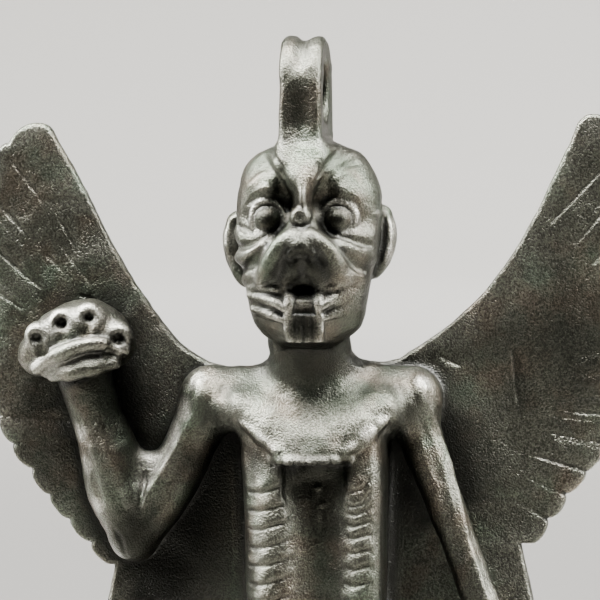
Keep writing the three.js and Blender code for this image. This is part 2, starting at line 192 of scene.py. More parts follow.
@dataclass(frozen=True)
class Limb:
    """A round-ended limb along a smooth curve through rows of (x, y, z, radius)."""

    rows: Sequence[Row]
    steps: int = 6

    def box(self) -> tuple[np.ndarray, np.ndarray]:
        """The lowest and highest corner of the limb.

        Returns:
            The two corners.
        """
        points = self.points()
        reach = points[:, 3:4]
        return (points[:, :3] - reach).min(0), (points[:, :3] + reach).max(0)

    def points(self) -> np.ndarray:
        """The centres and radii along the curve.

        Returns:
            Rows of (x, y, z, radius).
        """
        if self.steps == 1:
            return np.asarray(self.rows)
        return spline(self.rows, (len(self.rows) - 1) * self.steps + 1)

    def distance(self, grid: Grid) -> np.ndarray:
        """Distance to the limb's skin at each point of a grid.

        Args:
            grid: The grid's coordinates.

        Returns:
            The distances in millimetres, below zero inside.
        """
        out = np.full([g.size for g in grid], Clay.REACH, np.float32)
        x, y, z = grid
        points = self.points().astype(np.float32)
        for a, b in zip(points, points[1:]):
            reach = max(a[3], b[3]) + Clay.MARGIN
            low, high = np.minimum(a, b)[:3] - reach, np.maximum(a, b)[:3] + reach
            spans = tuple(slice(*np.searchsorted(g.ravel(), (p, q))) for g, p, q in zip(grid, low, high))
            t, gap = nearest(a, b, (x[spans[0]], y[:, spans[1]], z[:, :, spans[2]]))
            np.minimum(out[spans], np.sqrt(gap) - (a[3] + t * (b[3] - a[3])), out=out[spans])
        return out


@dataclass(frozen=True)
class Lump:
    """An ellipsoid at a place, with a radius along each axis, turned by angles in degrees."""

    place: Row
    radii: Row
    turn: Row = (0, 0, 0)

    def box(self) -> tuple[np.ndarray, np.ndarray]:
        """The lowest and highest corner of a ball that holds the lump."""
        centre, reach = np.array(self.place, float), max(self.radii)
        return centre - reach, centre + reach

    def distance(self, grid: Grid) -> np.ndarray:
        """Distance to the lump's skin at each point of a grid, exact near the skin.

        Args:
            grid: The grid's coordinates.

        Returns:
            The distances in millimetres, below zero inside.
        """
        turn = np.array(Euler([math.radians(angle) for angle in self.turn]).to_matrix())
        offset = [g - p for g, p in zip(grid, self.place)]
        local = [sum(turn[i][k] * offset[i] for i in range(3)) / self.radii[k] for k in range(3)]
        share = np.sqrt(sum(p * p for p in local)) + SMALL
        slope = np.sqrt(sum((p / r) ** 2 for p, r in zip(local, self.radii))) + SMALL
        return share * (share - 1) / slope


@dataclass(frozen=True)
class Column:
    """An upright body from rows of (height, half width, front y, back y).

    Its plan is an ellipse where squareness is 2, and grows squarer above that.
    """

    LEAST_SLOPE = 1e-3

    rows: Sequence[Row]
    squareness: float = 2.4
    middle: float = 0.0

    def box(self) -> tuple[np.ndarray, np.ndarray]:
        """The lowest and highest corner of the body.

        Returns:
            The two corners.
        """
        rows = np.array(self.rows)
        wide = rows[:, 1].max()
        low = [self.middle - wide, rows[:, 2].min(), rows[:, 0].min()]
        high = [self.middle + wide, rows[:, 3].max(), rows[:, 0].max()]
        return np.array(low), np.array(high)

    def distance(self, grid: Grid) -> np.ndarray:
        """Distance to the body's skin at each point of a grid, to first order.

        Args:
            grid: The grid's coordinates.

        Returns:
            The distances in millimetres, below zero inside.
        """
        x, y, z = grid
        rows = spline(self.rows, KNOT_STEPS * len(self.rows))
        height = z.ravel()
        half, front, back = (np.interp(height, rows[:, 0], rows[:, k]).astype(np.float32) for k in (1, 2, 3))
        n = self.squareness
        across = np.abs(x - self.middle) / half
        along = np.abs(y - (front + back) / 2) / ((back - front) / 2)
        power = across**n + along**n + SMALL
        share = power ** (1 / n)
        slope = share ** (1 - n) * np.hypot(across ** (n - 1) / half, along ** (n - 1) / ((back - front) / 2))
        side = (share - 1) / np.maximum(slope, self.LEAST_SLOPE)
        end = np.maximum(rows[0, 0] - z, z - rows[-1, 0])
        return np.maximum(side, end)


@dataclass(frozen=True)
class Plate:
    """A flat outline given thickness along one axis, with rounded edges.

    The outline's two coordinates are the other two axes, in the order x, y, z.
    """

    outline: np.ndarray
    axis: int
    near: float
    far: float
    rounding: float = 0.5
    hole: np.ndarray | None = None

    def box(self) -> tuple[np.ndarray, np.ndarray]:
        """The lowest and highest corner of the plate.

        Returns:
            The two corners.
        """
        flat_low, flat_high = list(self.outline.min(0)), list(self.outline.max(0))
        flat_low.insert(self.axis, self.near)
        flat_high.insert(self.axis, self.far)
        return np.array(flat_low), np.array(flat_high)

    def distance(self, grid: Grid) -> np.ndarray:
        """Distance to the plate's skin at each point of a grid.

        Args:
            grid: The grid's coordinates.

        Returns:
            The distances in millimetres, below zero inside.
        """
        others = list(grid)
        through = others.pop(self.axis)
        flat = outline_distance(self.outline, *others)
        if self.hole is not None:
            flat = np.maximum(flat, -outline_distance(self.hole, *others))
        out = flat + self.rounding
        half = (self.far - self.near) / 2 - self.rounding
        deep = np.abs(through - (self.near + self.far) / 2) - half
        corner = np.hypot(np.maximum(out, 0), np.maximum(deep, 0))
        return np.minimum(np.maximum(out, deep), 0) + corner - self.rounding


@dataclass(frozen=True)
class Relief:
    """A body whose front is drawn by upright profiles.

    A profile is its place across and rows of (height, depth), where depth is counted from y = 0 to the front.
    """

    ACROSS_STEPS = 12

    body: Column
    profiles: Sequence[tuple[float, Sequence[Row]]]
    blend: float = 1.0

    def box(self) -> tuple[np.ndarray, np.ndarray]:
        """The lowest and highest corner of the body."""
        return self.body.box()

    def front(self, x: np.ndarray, z: np.ndarray) -> np.ndarray:
        """The y of the front at each place across and each height.

        Args:
            x: Grid places across.
            z: Grid places upwards.

        Returns:
            The front's y, for each x and z.
        """
        heights = [spline(rows, KNOT_STEPS * len(rows))[::-1] for _, rows in self.profiles]
        depths = np.array([np.interp(z, rows[:, 0], rows[:, 1]) for rows in heights])
        knots = np.hstack([[[place] for place, _ in self.profiles], depths])
        across = spline(knots, self.ACROSS_STEPS * len(depths))
        at = np.interp(x, across[:, 0], np.arange(len(across)))
        low = np.minimum(at.astype(int), len(across) - 2)
        share = (at - low)[:, None]
        return -((1 - share) * across[low, 1:] + share * across[low + 1, 1:])

    def distance(self, grid: Grid) -> np.ndarray:
        """Distance to the body's skin at each point of a grid, to first order.

        Args:
            grid: The grid's coordinates.

        Returns:
            The distances in millimetres, below zero inside.
        """
        x, y, z = grid
        front = self.front(x.ravel(), z.ravel())
        lean = np.gradient(front, x.ravel(), z.ravel())
        steep = np.sqrt(1 + lean[0] ** 2 + lean[1] ** 2)
        ahead = ((front[:, None, :] - y) / steep[:, None, :]).astype(np.float32)
        return -blended(-self.body.distance(grid), -ahead, self.blend)


Form = Limb | Lump | Column | Plate | Relief


class Part(Protocol):
    """A sub-assembly of the figure."""

    def sculpt(self, clay: "Clay") -> None:
        """Works the sub-assembly into the clay."""


@dataclass(frozen=True)
class Mark:
    """A line worked into the skin: what it shows, how far it rises, and rows of (x, z, half width)."""

    name: str
    lift: float
    rows: Sequence[Row]


def blended(a: np.ndarray, b: np.ndarray, blend: float) -> np.ndarray:
    """The smaller of two distances, with the seam rounded over a width of blend.

    Args:
        a: The first distances.
        b: The second ones.
        blend: The seam's width.

    Returns:
        The joined distances.
    """
    if blend <= 0:
        return np.minimum(a, b)
    h = np.maximum(blend - np.abs(a - b), 0) / blend
    return np.minimum(a, b) - h * h * (blend / 4)


class Clay:
    """The whole figure as distances in millimetres on a grid of uneven steps, below zero inside.

    Distances are held up to REACH. A form changes the clay up to MARGIN outside its box, and a stroke changes
    it up to ROOM. A look from one side starts LOOK_FROM away from the middle and goes on by LOOK_STEP.
    Sampling stops END places before the grid's far side.
    """

    REACH = 4.0
    MARGIN = 2.4
    ROOM = 0.3
    LOOK_FROM = 29.0
    LOOK_STEP = 0.15
    STROKE_STEPS = 5
    END = 1.001

    def __init__(self, x: np.ndarray, y: np.ndarray, z: np.ndarray) -> None:
        """Lays out empty clay.

        Args:
            x: Grid places across.
            y: Grid places from front to back.
            z: Grid places upwards.
        """
        self.axes = tuple(axis.astype(np.float32) for axis in (x, y, z))
        self.value = np.full([len(axis) for axis in self.axes], self.REACH, np.float32)

    def window(self, form: Form, room: float) -> tuple[tuple[slice, ...], Grid]:
        """The part of the grid around a form, as slices and as open coordinate arrays.

        Args:
            form: The form.
            room: How far the part reaches outside the form's box.

        Returns:
            The slices, and the coordinates.
        """
        low, high = form.box()
        spans = tuple(
            slice(*np.searchsorted(axis, (a - room, b + room))) for axis, a, b in zip(self.axes, low, high)
        )
        x, y, z = (axis[span] for axis, span in zip(self.axes, spans))
        return spans, (x[:, None, None], y[None, :, None], z[None, None, :])

    def add(self, *forms: Form, blend: float = 0.0) -> None:
        """Presses forms onto the clay, each seam rounded over a width of blend.

        Args:
            forms: The forms, in order.
            blend: How wide each seam is rounded.
        """
        for form in forms:
            spans, grid = self.window(form, self.MARGIN)
            self.value[spans] = blended(self.value[spans], form.distance(grid), blend)

    def cut(self, *forms: Form, blend: float = 0.0) -> None:
        """Takes forms out of the clay, each edge rounded over a width of blend.

        Args:
            forms: The forms, in order.
            blend: How wide each seam is rounded.
        """
        for form in forms:
            spans, grid = self.window(form, self.MARGIN)
            self.value[spans] = -blended(-self.value[spans], form.distance(grid), blend)

    def sample(self, points: np.ndarray) -> np.ndarray:
        """Distances at any points, by straight-line steps between grid places.

        Args:
            points: Points in millimetres.

        Returns:
            The distance at each point.
        """
        steps = [
            np.clip(np.interp(points[:, k], axis, np.arange(len(axis))), 0, len(axis) - self.END)
            for k, axis in enumerate(self.axes)
        ]
        base = [step.astype(np.int64) for step in steps]
        part = [(step - b).astype(np.float32) for step, b in zip(steps, base)]
        total = np.zeros(len(points), np.float32)
        for corner in range(8):
            bits = [(corner >> k) & 1 for k in range(3)]
            weight = np.ones(len(points), np.float32)
            for bit, p in zip(bits, part):
                weight *= p if bit else 1 - p
            total += weight * self.value[base[0] + bits[0], base[1] + bits[1], base[2] + bits[2]]
        return total

    def slope(self, points: np.ndarray, step: float = 0.16) -> np.ndarray:
        """Unit vectors out of the clay at any points.

        Args:
            points: Points in millimetres.
            step: How far to each side the distance is looked up.

        Returns:
            A unit vector for each point.
        """
        rise = np.empty_like(points)
        for k in range(3):
            shift = np.zeros(3)
            shift[k] = step
            rise[:, k] = self.sample(points + shift) - self.sample(points - shift)
        return rise / np.maximum(np.linalg.norm(rise, axis=1, keepdims=True), TINY)

    def surface(self, places: np.ndarray, side: Side) -> np.ndarray:
        """The points of the skin that a straight look from one side meets first.

        Args:
            places: Rows of (x, z).
            side: The side that the look comes from.

        Returns:
            Rows of (x, y, z).
        """
        depth = side.value * np.arange(self.LOOK_FROM, -self.LOOK_FROM, -self.LOOK_STEP)
        count = len(places)
        rays = np.empty((count, len(depth), 3))
        rays[:, :, 0], rays[:, :, 1], rays[:, :, 2] = places[:, :1], depth[None, :], places[:, 1:2]
        value = self.sample(rays.reshape(-1, 3)).reshape(count, -1)
        first = np.where((value < 0).any(1), np.maximum((value < 0).argmax(1), 1), value.argmin(1))
        every = np.arange(count)
        a, b = value[every, first - 1], value[every, first]
        share = np.clip(a / np.maximum(a - b, SMALL), 0, 1)
        y = depth[first - 1] + (depth[first] - depth[first - 1]) * share
        return np.stack([places[:, 0], y, places[:, 1]], 1)

    def stroke(self, rows: Sequence[Row], lift: float, side: Side = Side.FRONT) -> None:
        """Raises or sinks the skin along a line, with a bell-shaped profile.

        Args:
            rows: Rows of (x, z, half width) that the line passes through. It is lower where it is narrower.
            lift: How far the skin rises where the line is widest, or below zero how far it sinks.
            side: The side that the line is drawn from.
        """
        if len(rows) > 1:
            line = spline(rows, self.STROKE_STEPS * (len(rows) - 1) + 1)
        else:
            line = np.array([rows[0], rows[0]], float)
        skin = self.surface(line[:, :2], side)
        self.swell(np.hstack([skin, line[:, 2:3]]), lift)

    def draw(self, *marks: Mark) -> None:
        """Works marks into the front of the figure, one after the other.

        Args:
            marks: The marks, in order.
        """
        for mark in marks:
            self.stroke(mark.rows, mark.lift)
            LOG.debug("drew the %s", mark.name)

    def swell(self, points: np.ndarray, lift: float) -> None:
        """Raises or sinks the skin near a line of points (x, y, z, half width).

        Args:
            points: The line's points.
            lift: How far the skin rises where the line is widest.
        """
        form = Limb(points, steps=1)
        spans, grid = self.window(form, self.ROOM)
        share = np.zeros([g.size for g in grid], np.float32)
        widest = points[:, 3].max()
        for a, b in zip(points, points[1:]):
            t, gap = nearest(a, b, grid)
            width = a[3] + t * (b[3] - a[3])
            bell = np.maximum(1 - gap / width**2, 0) ** 2 * (width / widest)
            np.maximum(share, bell, out=share)
        self.value[spans] -= lift * share

    def skin(self) -> tuple[np.ndarray, np.ndarray]:
        """The clay's skin, with one point in each grid cell that it crosses.

        Returns:
            The points in millimetres, and four-cornered faces as the numbers of their points.
        """
        inside = self.value < 0
        count = np.zeros([n - 1 for n in inside.shape], np.uint8)
        for corner in range(8):
            i, j, k = corner & 1, (corner >> 1) & 1, corner >> 2
            nx, ny, nz = count.shape
            count += inside[i : i + nx, j : j + ny, k : k + nz]
        cells = np.flatnonzero((count > 0) & (count < 8))
        faces = [self.faces_across(axis, inside, cells, count.shape) for axis in range(3)]
        return self.cell_points(cells, count.shape), np.concatenate(faces)

    def cell_points(self, cells: np.ndarray, shape: tuple[int, ...]) -> np.ndarray:
        """One point in each crossed cell, midway between the places where the skin crosses the cell's edges.

        Args:
            cells: Flat numbers of the crossed cells.
            shape: The number of cells along each axis.

        Returns:
            Rows of (x, y, z) in millimetres.
        """
        first = np.stack(np.unravel_index(cells, shape), 1)
        total = np.zeros((len(cells), 3))
        crossings = np.zeros(len(cells))
        for axis in range(3):
            others = [k for k in range(3) if k != axis]
            for bits in range(4):
                start = first.copy()
                start[:, others[0]] += bits & 1
                start[:, others[1]] += bits >> 1
                end = start.copy()
                end[:, axis] += 1
                a, b = self.value[tuple(start.T)], self.value[tuple(end.T)]
                hit = (a < 0) != (b < 0)
                place = start[hit].astype(float)
                place[:, axis] += a[hit] / (a[hit] - b[hit])
                total[hit] += place
                crossings[hit] += 1
        total /= crossings[:, None]
        return np.stack([np.interp(total[:, k], np.arange(len(g)), g) for k, g in enumerate(self.axes)], 1)

    def faces_across(
        self, axis: int, inside: np.ndarray, cells: np.ndarray, shape: tuple[int, ...]
    ) -> np.ndarray:
        """A face around each grid edge along one axis that runs from inside the clay to outside it.

        Args:
            axis: The axis, from 0 to 2.
            inside: Whether each grid place is inside the clay.
            cells: Flat numbers of the crossed cells, in rising order.
            shape: The number of cells along each axis.

        Returns:
            Rows of four point numbers, in the order that turns the face outwards.
        """
        span = [slice(1, -1)] * 3
        span[axis] = slice(None, -1)
        ahead = [slice(1, -1)] * 3
        ahead[axis] = slice(1, None)
        here, there = inside[tuple(span)], inside[tuple(ahead)]
        edges = np.stack(np.nonzero(here != there), 1)
        outward = here[tuple(edges.T)]
        for k in range(3):
            if k != axis:
                edges[:, k] += 1
        u, v = (axis + 1) % 3, (axis + 2) % 3
        ring = []
        for du, dv in ((0, 0), (-1, 0), (-1, -1), (0, -1)):
            cell = edges.copy()
            cell[:, u] += du
            cell[:, v] += dv
            ring.append(np.searchsorted(cells, np.ravel_multi_index(tuple(cell.T), shape)))
        quads = np.stack(ring, 1)
        quads[~outward] = quads[~outward][:, ::-1]
        return quads


@dataclass
class Base:
    """The low base: a plain slab with rounded corners and a softened upper edge."""

    width: float = 48.0
    depth: float = 56.0
    top: float = BASE_TOP
    corner: float = 4.0
    corner_step: int = 10
    edge: float = 0.7

    def sculpt(self, clay: Clay) -> None:
        """Presses the slab onto the clay.

        Args:
            clay: The worked clay.
        """
        turn = np.radians(np.arange(0, 91, self.corner_step))
        quarter = np.stack([np.cos(turn), np.sin(turn)], 1) * self.corner
        reach = np.array([self.width, self.depth]) / 2 - self.corner
        swap = quarter[::-1]
        outline = [
            quarter + reach,
            swap * (-1, 1) + reach * (-1, 1),
            -quarter - reach,
            swap * (1, -1) + reach * (1, -1),
        ]
        clay.add(Plate(np.concatenate(outline), axis=2, near=0, far=self.top, rounding=self.edge))


@dataclass
class Leg:
    """A leg with a feathered thigh and a bird's shank, foot and claws.

    It is drawn for the figure's left, where side is 1. A toe turns outwards by degrees. Its reaches, heights
    and radii go from the ankle to the claw's tip.
    """

    side: int
    knee: float = KNEE
    ankle: float = ANKLE
    stance: float = 8.6
    foot_y: float = -1.0
    toe_turns: tuple[float, ...] = (-24, 2, 28)
    toe_reaches: tuple[float, ...] = (0, 6, 11, 16, 18.5)
    toe_heights: tuple[float, ...] = (ANKLE - 2, *(BASE_TOP + rise for rise in (3.0, 3.2, 1.6, 0.2)))
    toe_radii: tuple[float, ...] = (2.6, 1.9, 1.9, 1.3, 0.6)
    feather_rows: int = 5
    feather_pitch: float = 3.6
    feather_width: float = 2.8
    scute: float = 1.6
    cut: float = 0.3

    def sculpt(self, clay: Clay) -> None:
        """Presses the leg and foot onto the clay and cuts their feathers and scales.

        Args:
            clay: The worked clay.
        """
        thigh = [[5.0, 0, HIP, 5.2], [6.2, -2.4, (HIP + self.knee) / 2 + 1, 5.0], [7.2, -4.6, self.knee, 3.7]]
        shank = [
            [7.2, -4.4, self.knee, 3.6], [7.6, -1.4, 30, 3.0], [8.2, 0.6, 19, 2.3],
            [self.stance, 0.4, self.ankle, 2.7],
        ]
        for rows in (thigh, shank):
            clay.add(Limb(self.turned(rows), steps=8), blend=2.0)
        for rows in self.toes():
            clay.add(Limb(self.turned(rows), steps=8), blend=0.8)
        self.feathers(clay)
        self.scutes(clay)

    def turned(self, rows: Sequence[Row]) -> Sequence[Row]:
        """Rows drawn for the left leg, put on this leg's side."""
        return rows if self.side > 0 else mirrored(rows)

    def toes(self) -> list[list[list[float]]]:
        """Three toes forward and one back, each ending in a hooked claw.

        Returns:
            The rows of each toe, as drawn for the left leg.
        """
        x, y = self.stance, self.foot_y
        made = []
        for turn in self.toe_turns:
            a = math.radians(turn)
            c, s = math.cos(a), math.sin(a)
            rows = zip(self.toe_reaches, self.toe_heights, self.toe_radii)
            made.append([[x + s * reach, y - c * reach, z, radius] for reach, z, radius in rows])
        spur = [
            [x, y, self.ankle - 2, self.toe_radii[0]], [x + 0.5, y + 6, BASE_TOP + 2.4, 1.8],
            [x + 0.8, y + 11, BASE_TOP + 0.4, 0.8],
        ]
        return [*made, spur]

    def feathers(self, clay: Clay) -> None:
        """Cuts rows of pointed feather tips down the front of the thigh, each between those of the last.

        Args:
            clay: The worked clay.
        """
        wide, high = self.feather_width / 2, 1.2
        for row in range(self.feather_rows):
            z = HIP - 5 - self.feather_pitch * row
            for column in range(3 + row % 2):
                x = 6.2 + (column - (2 + row % 2) / 2) * self.feather_width
                tip = [[x - wide, z + high, 0.3], [x, z - 1.0, 0.36], [x + wide, z + high, 0.3]]
                clay.stroke(self.turned(tip), -self.cut)

    def scutes(self, clay: Clay) -> None:
        """Cuts the short cross lines down the front of the shank, which leans outwards.

        Args:
            clay: The worked clay.
        """
        half, lean = 1.7, 0.04
        z = self.knee - 6
        while z > self.ankle + 3:
            x = 7.4 + (self.knee - z) * lean
            line = [[x - half, z + 0.4, 0.3], [x, z, 0.36], [x + half, z + 0.4, 0.3]]
            clay.stroke(self.turned(line), -self.cut)
            z -= self.scute


@dataclass
class Torso:
    """The trunk with its breast plate, starved ribs, sunken belly, neck and shoulders.

    The ribs of a side are cut from a roll, given as its place across and half its width.
    """

    middle: float = 0.6
    ledge: float = LEDGE
    squareness: float = 3.0
    left_ribs: tuple[float, float] = (6.9, 2.5)
    right_ribs: tuple[float, float] = (-3.6, 2.7)
    low_creases: int = 7
    level_creases: int = 11
    slanted_pitch: float = 2.0
    level_pitch: float = 2.25
    crease: float = 0.38
    swelling: float = 0.16
    notches: int = 7
    notch_pitch: float = 1.45

    def sculpt(self, clay: Clay) -> None:
        """Builds the trunk from the hips up to the neck.

        Args:
            clay: The worked clay.
        """
        trunk = [
            [HIP - 6, 5.5, -5.2, 4.4], [HIP, 9.0, -7.0, 6.2], [HIP + 6, 8.8, -7.2, 5.8],
            [74, 7.9, -6.8, 5.0], [82, 8.2, -7.2, 4.8], [90, 8.5, -7.6, 4.9],
            [self.ledge, 8.8, -7.8, 5.0], [104, 9.2, -7.5, 5.0], [109, 6.5, -4.0, 4.2],
        ]
        clay.add(Column(trunk, self.squareness, self.middle), blend=3.0)
        self.roll(clay, *self.left_ribs)
        self.slanted_cuts(clay)
        self.roll(clay, *self.right_ribs)
        self.level_cuts(clay)
        hollow = [[1.2, -10.0, HIP + 6, 1.6], [1.7, -9.8, 82, 2.9], [1.7, -8.9, self.ledge - 1.5, 3.1]]
        clay.cut(Limb(hollow), blend=1.6)
        self.yoke(clay)
        self.breast(clay)
        recess = [[89.5, 2.4, -14, -7.1], [94.0, 3.8, -14, -6.6], [self.ledge - 0.35, 4.1, -14, -6.4]]
        clay.cut(Column(recess, 4.0, 1.2), blend=0.5)
        for x, z in ((1.5, 95.2), (2.0, 93.2)):
            clay.stroke([[x, z, 0.65]], 0.22)

    def roll(self, clay: Clay, middle: float, half: float) -> None:
        """Adds the upright roll that one side's ribs are cut from, tapered towards the hips.

        Args:
            clay: The worked clay.
            middle: The roll's place across.
            half: Half its width.
        """
        rows = [
            [64, half - 1.4, -5.4, 0], [69, half - 0.7, -7.0, 0], [75, half - 0.2, -7.7, 0],
            [84, half, -8.0, 0], [self.ledge - 2, half, -8.2, 0],
            [self.ledge + 5, half - 0.4, -7.6, 0],
        ]
        clay.add(Column(rows, 3.0, middle), blend=1.4)

    def slanted_cuts(self, clay: Clay) -> None:
        """Cuts the creases of the left side's ribs, which slant at the ledge and are level further down.

        Args:
            clay: The worked clay.
        """
        creases = [(96.9, 95.3), (95.0, 93.4), (93.4, 92.4), (91.4, 91.0), (89.7, 89.5), (87.8, 87.7)]
        pitch = self.slanted_pitch
        creases += [(85.9 - pitch * k, 85.7 - pitch * k) for k in range(self.low_creases)]
        for outer, inner in creases:
            low = min(outer, inner) - 0.25
            self.rib(clay, [[8.1, outer, 0.3], [7.2, low + 0.4, 0.45], [5.9, low, 0.45], [4.8, inner, 0.3]])

    def level_cuts(self, clay: Clay) -> None:
        """Cuts the evenly spaced creases of the right side's ribs.

        Args:
            clay: The worked clay.
        """
        for k in range(self.level_creases):
            z = 95.0 - self.level_pitch * k
            rows = [[-7.0, z - 0.4, 0.3], [-5.4, z - 0.3, 0.42], [-3.4, z + 0.3, 0.42], [-1.4, z + 0.8, 0.3]]
            self.rib(clay, rows)

    def rib(self, clay: Clay, rows: Sequence[Row]) -> None:
        """Rounds the lower edge of a rib and cuts the crease under it.

        Args:
            clay: The worked clay.
            rows: The crease, as rows of (x, z, half width).
        """
        clay.stroke([[x, z + 0.7, 2.4 * reach] for x, z, reach in rows], self.swelling)
        clay.stroke(rows, -self.crease)

    def yoke(self, clay: Clay) -> None:
        """Adds the neck and the sloping shoulders.

        Args:
            clay: The worked clay.
        """
        neck = [[0.2, -0.6, 102, 6.4], [0.3, -1.8, 108, 5.2], [0.2, -3.6, 113, 5.0], [0.2, -4.4, 118, 5.2]]
        shoulders = [
            [-12.6, 0.4, SHOULDER, 3.4], [-6, -0.4, SHOULDER + 0.2, 3.8],
            [0.3, -0.6, SHOULDER, 4.0], [6, -0.4, SHOULDER + 0.4, 3.8],
            [12.4, 0.4, SHOULDER + 0.3, 3.4],
        ]
        clay.add(Limb(shoulders), blend=2.0)
        clay.add(Limb(neck), blend=2.6)

    def breast(self, clay: Clay) -> None:
        """Adds the flat breast plate with its sharp lower edge, which rises to the armpits.

        Args:
            clay: The worked clay.
        """
        plate = [
            [self.ledge, 4.4, -10.9, 0], [self.ledge + 2.4, 6.7, -9.9, 0],
            [self.ledge + 4.8, 8.9, -8.9, 1], [self.ledge + 7.4, 9.9, -6.9, 2],
            [self.ledge + 9.6, 9.0, -4.2, 2.5], [self.ledge + 11.6, 6.0, -2.6, 3],
        ]
        clay.add(Column(plate, 3.2, self.middle + 0.2), blend=0.8)
        for side in (1, -1):
            near, far = (self.middle + side * reach for reach in (9.2, 11.6))
            clay.add(Limb([[near, -4.3, 104.8, 1.9], [far, -1.2, 104.6, 2.6]]), blend=2.6)
        lip = [[x, self.ledge + rise, 0.8] for x, rise in ((-4.4, 0.5), (0.8, 0.3), (5.6, 0.5))]
        clay.stroke(lip, 0.3)
        clay.draw(
            Mark("slanted ridge on the right of the breast", 0.45,
                 [[-8.0, 103.2, 0.4], [-6.9, 102.3, 1.2], [-5.0, 100.8, 1.4], [-3.1, 99.8, 0.8]]),
            Mark("slanted ridge on the left of the breast", 0.45,
                 [[10.2, 103.9, 0.4], [9.2, 102.8, 1.2], [7.2, 101.1, 1.4], [5.1, 99.8, 0.8]]),
        )
        for k in range(self.notches):
            x = -3.9 + self.notch_pitch * k
            clay.stroke([[x, self.ledge + 0.7, 0.3], [x + 0.1, self.ledge - 0.3, 0.45]], -0.28)
        broken_corner = Lump((-6.4, -9.2, LEDGE), (2.2, 1.7, 2.4), (0, 30, 0))
        clay.cut(broken_corner, blend=1.0)


@dataclass
class Tail:
    """The segmented tail that lies up the back and ends in a sting."""

    segments: int = 9
    foot: float = HIP - 4
    length: float = 40.0
    radius: float = 3.6
    taper: float = 1.2
    back: float = 5.4
    arch: float = 3.0
    bead: float = 2.5

    def sculpt(self, clay: Clay) -> None:
        """Adds the beads of the tail and its sting.

        Args:
            clay: The worked clay.
        """
        for i in range(self.segments):
            t = (i + 0.5) / self.segments
            radius = self.radius - self.taper * t
            place = (0, self.back + self.arch * math.sin(math.pi * t), self.foot + self.length * t)
            clay.add(Lump(place, (radius, radius, self.bead)), blend=0.5)
        sting = [[0, self.back, HIP + 34, 2.2], [0, 6.8, HIP + 40, 1.5], [0, 5.0, HIP + 46, 0.7]]
        clay.add(Limb(sting), blend=0.6)


@dataclass
class Paw:
    """A paw with a padded palm and four curled toes, each with a pit under its claw."""

    place: Row
    turn: float = 0.0
    side: int = 1
    tips: tuple[Row, ...] = ((-4.8, 2.4, 0.85), (-1.6, 4.2, 1.0), (1.9, 4.9, 0.9), (5.7, 2.4, 0.95))

    def sculpt(self, clay: Clay) -> None:
        """Adds the palm, toes and pads, and cuts the pits. A tip is a toe's (x, z) and its pit's radius.

        Args:
            clay: The worked clay.
        """
        palm = [[-4.2, -0.7, 0.2, 3.0], [-1.0, -0.4, 2.1, 4.1], [1.8, -0.4, 2.5, 4.2], [4.2, -0.6, 1.3, 3.0]]
        clay.add(self.limb(palm), blend=1.4)
        for x, z, _ in self.tips:
            clay.add(self.limb([[x * 0.8, -2.2, z - 0.9, 1.8], [x, -3.1, z + 0.2, 1.45]]), blend=1.4)
        pad = [
            [-4.7, -3.2, -1.7, 0.7], [-3.1, -4.3, -0.5, 0.8], [-1.0, -5.1, 0.6, 0.9],
            [1.4, -5.3, 1.4, 0.85], [3.9, -4.9, 1.5, 0.8], [6.3, -3.6, 0.8, 0.7],
        ]
        heel = [
            [-2.6, -2.7, -2.6, 0.8], [-0.9, -4.2, -2.1, 1.0], [1.2, -4.8, -1.6, 1.1],
            [3.2, -4.7, -1.2, 1.0], [5.0, -3.7, -0.9, 0.8],
        ]
        clay.add(self.limb(pad), self.limb(heel), blend=0.7)
        groove = [
            [-3.4, -2.4, -1.8, 1.0], [-1.2, -3.75, -0.8, 1.1], [1.8, -4.05, 0.0, 1.1], [4.6, -3.5, 0.0, 0.9],
        ]
        clay.add(self.limb(groove), blend=0.8)
        for x, z, wide in self.tips:
            clay.stroke(self.line([[x * 0.9, z - 0.9, 0.9], [x * 0.8, z - 2.0, 1.1]]), -0.6)
            pit = [[x, -6.4, z + 0.1, wide], [x * 0.96, -4.0, z - 0.2, 0.55 * wide]]
            clay.cut(self.limb(pit), blend=1.0)

    def put(self, x: float, z: float) -> tuple[float, float]:
        """Turns a place in the paw's own frame, palm to the front and toes up, into the figure's.

        Args:
            x: The place across.
            z: The place upwards.

        Returns:
            The same two in the figure's frame.
        """
        c, s = math.cos(math.radians(self.turn)), math.sin(math.radians(self.turn))
        x *= self.side
        return self.place[0] + x * c + z * s, self.place[2] + z * c - x * s

    def line(self, rows: Sequence[Row]) -> list[Row]:
        """The rows of a stroke drawn in the paw's own frame, put in place."""
        return [[*self.put(x, z), reach] for x, z, reach in rows]

    def limb(self, rows: Sequence[Row]) -> Limb:
        """A limb drawn in the paw's own frame, put in place."""
        placed = ((self.put(x, z), self.place[1] + y, radius) for x, y, z, radius in rows)
        return Limb([[across, depth, height, radius] for (across, height), depth, radius in placed])


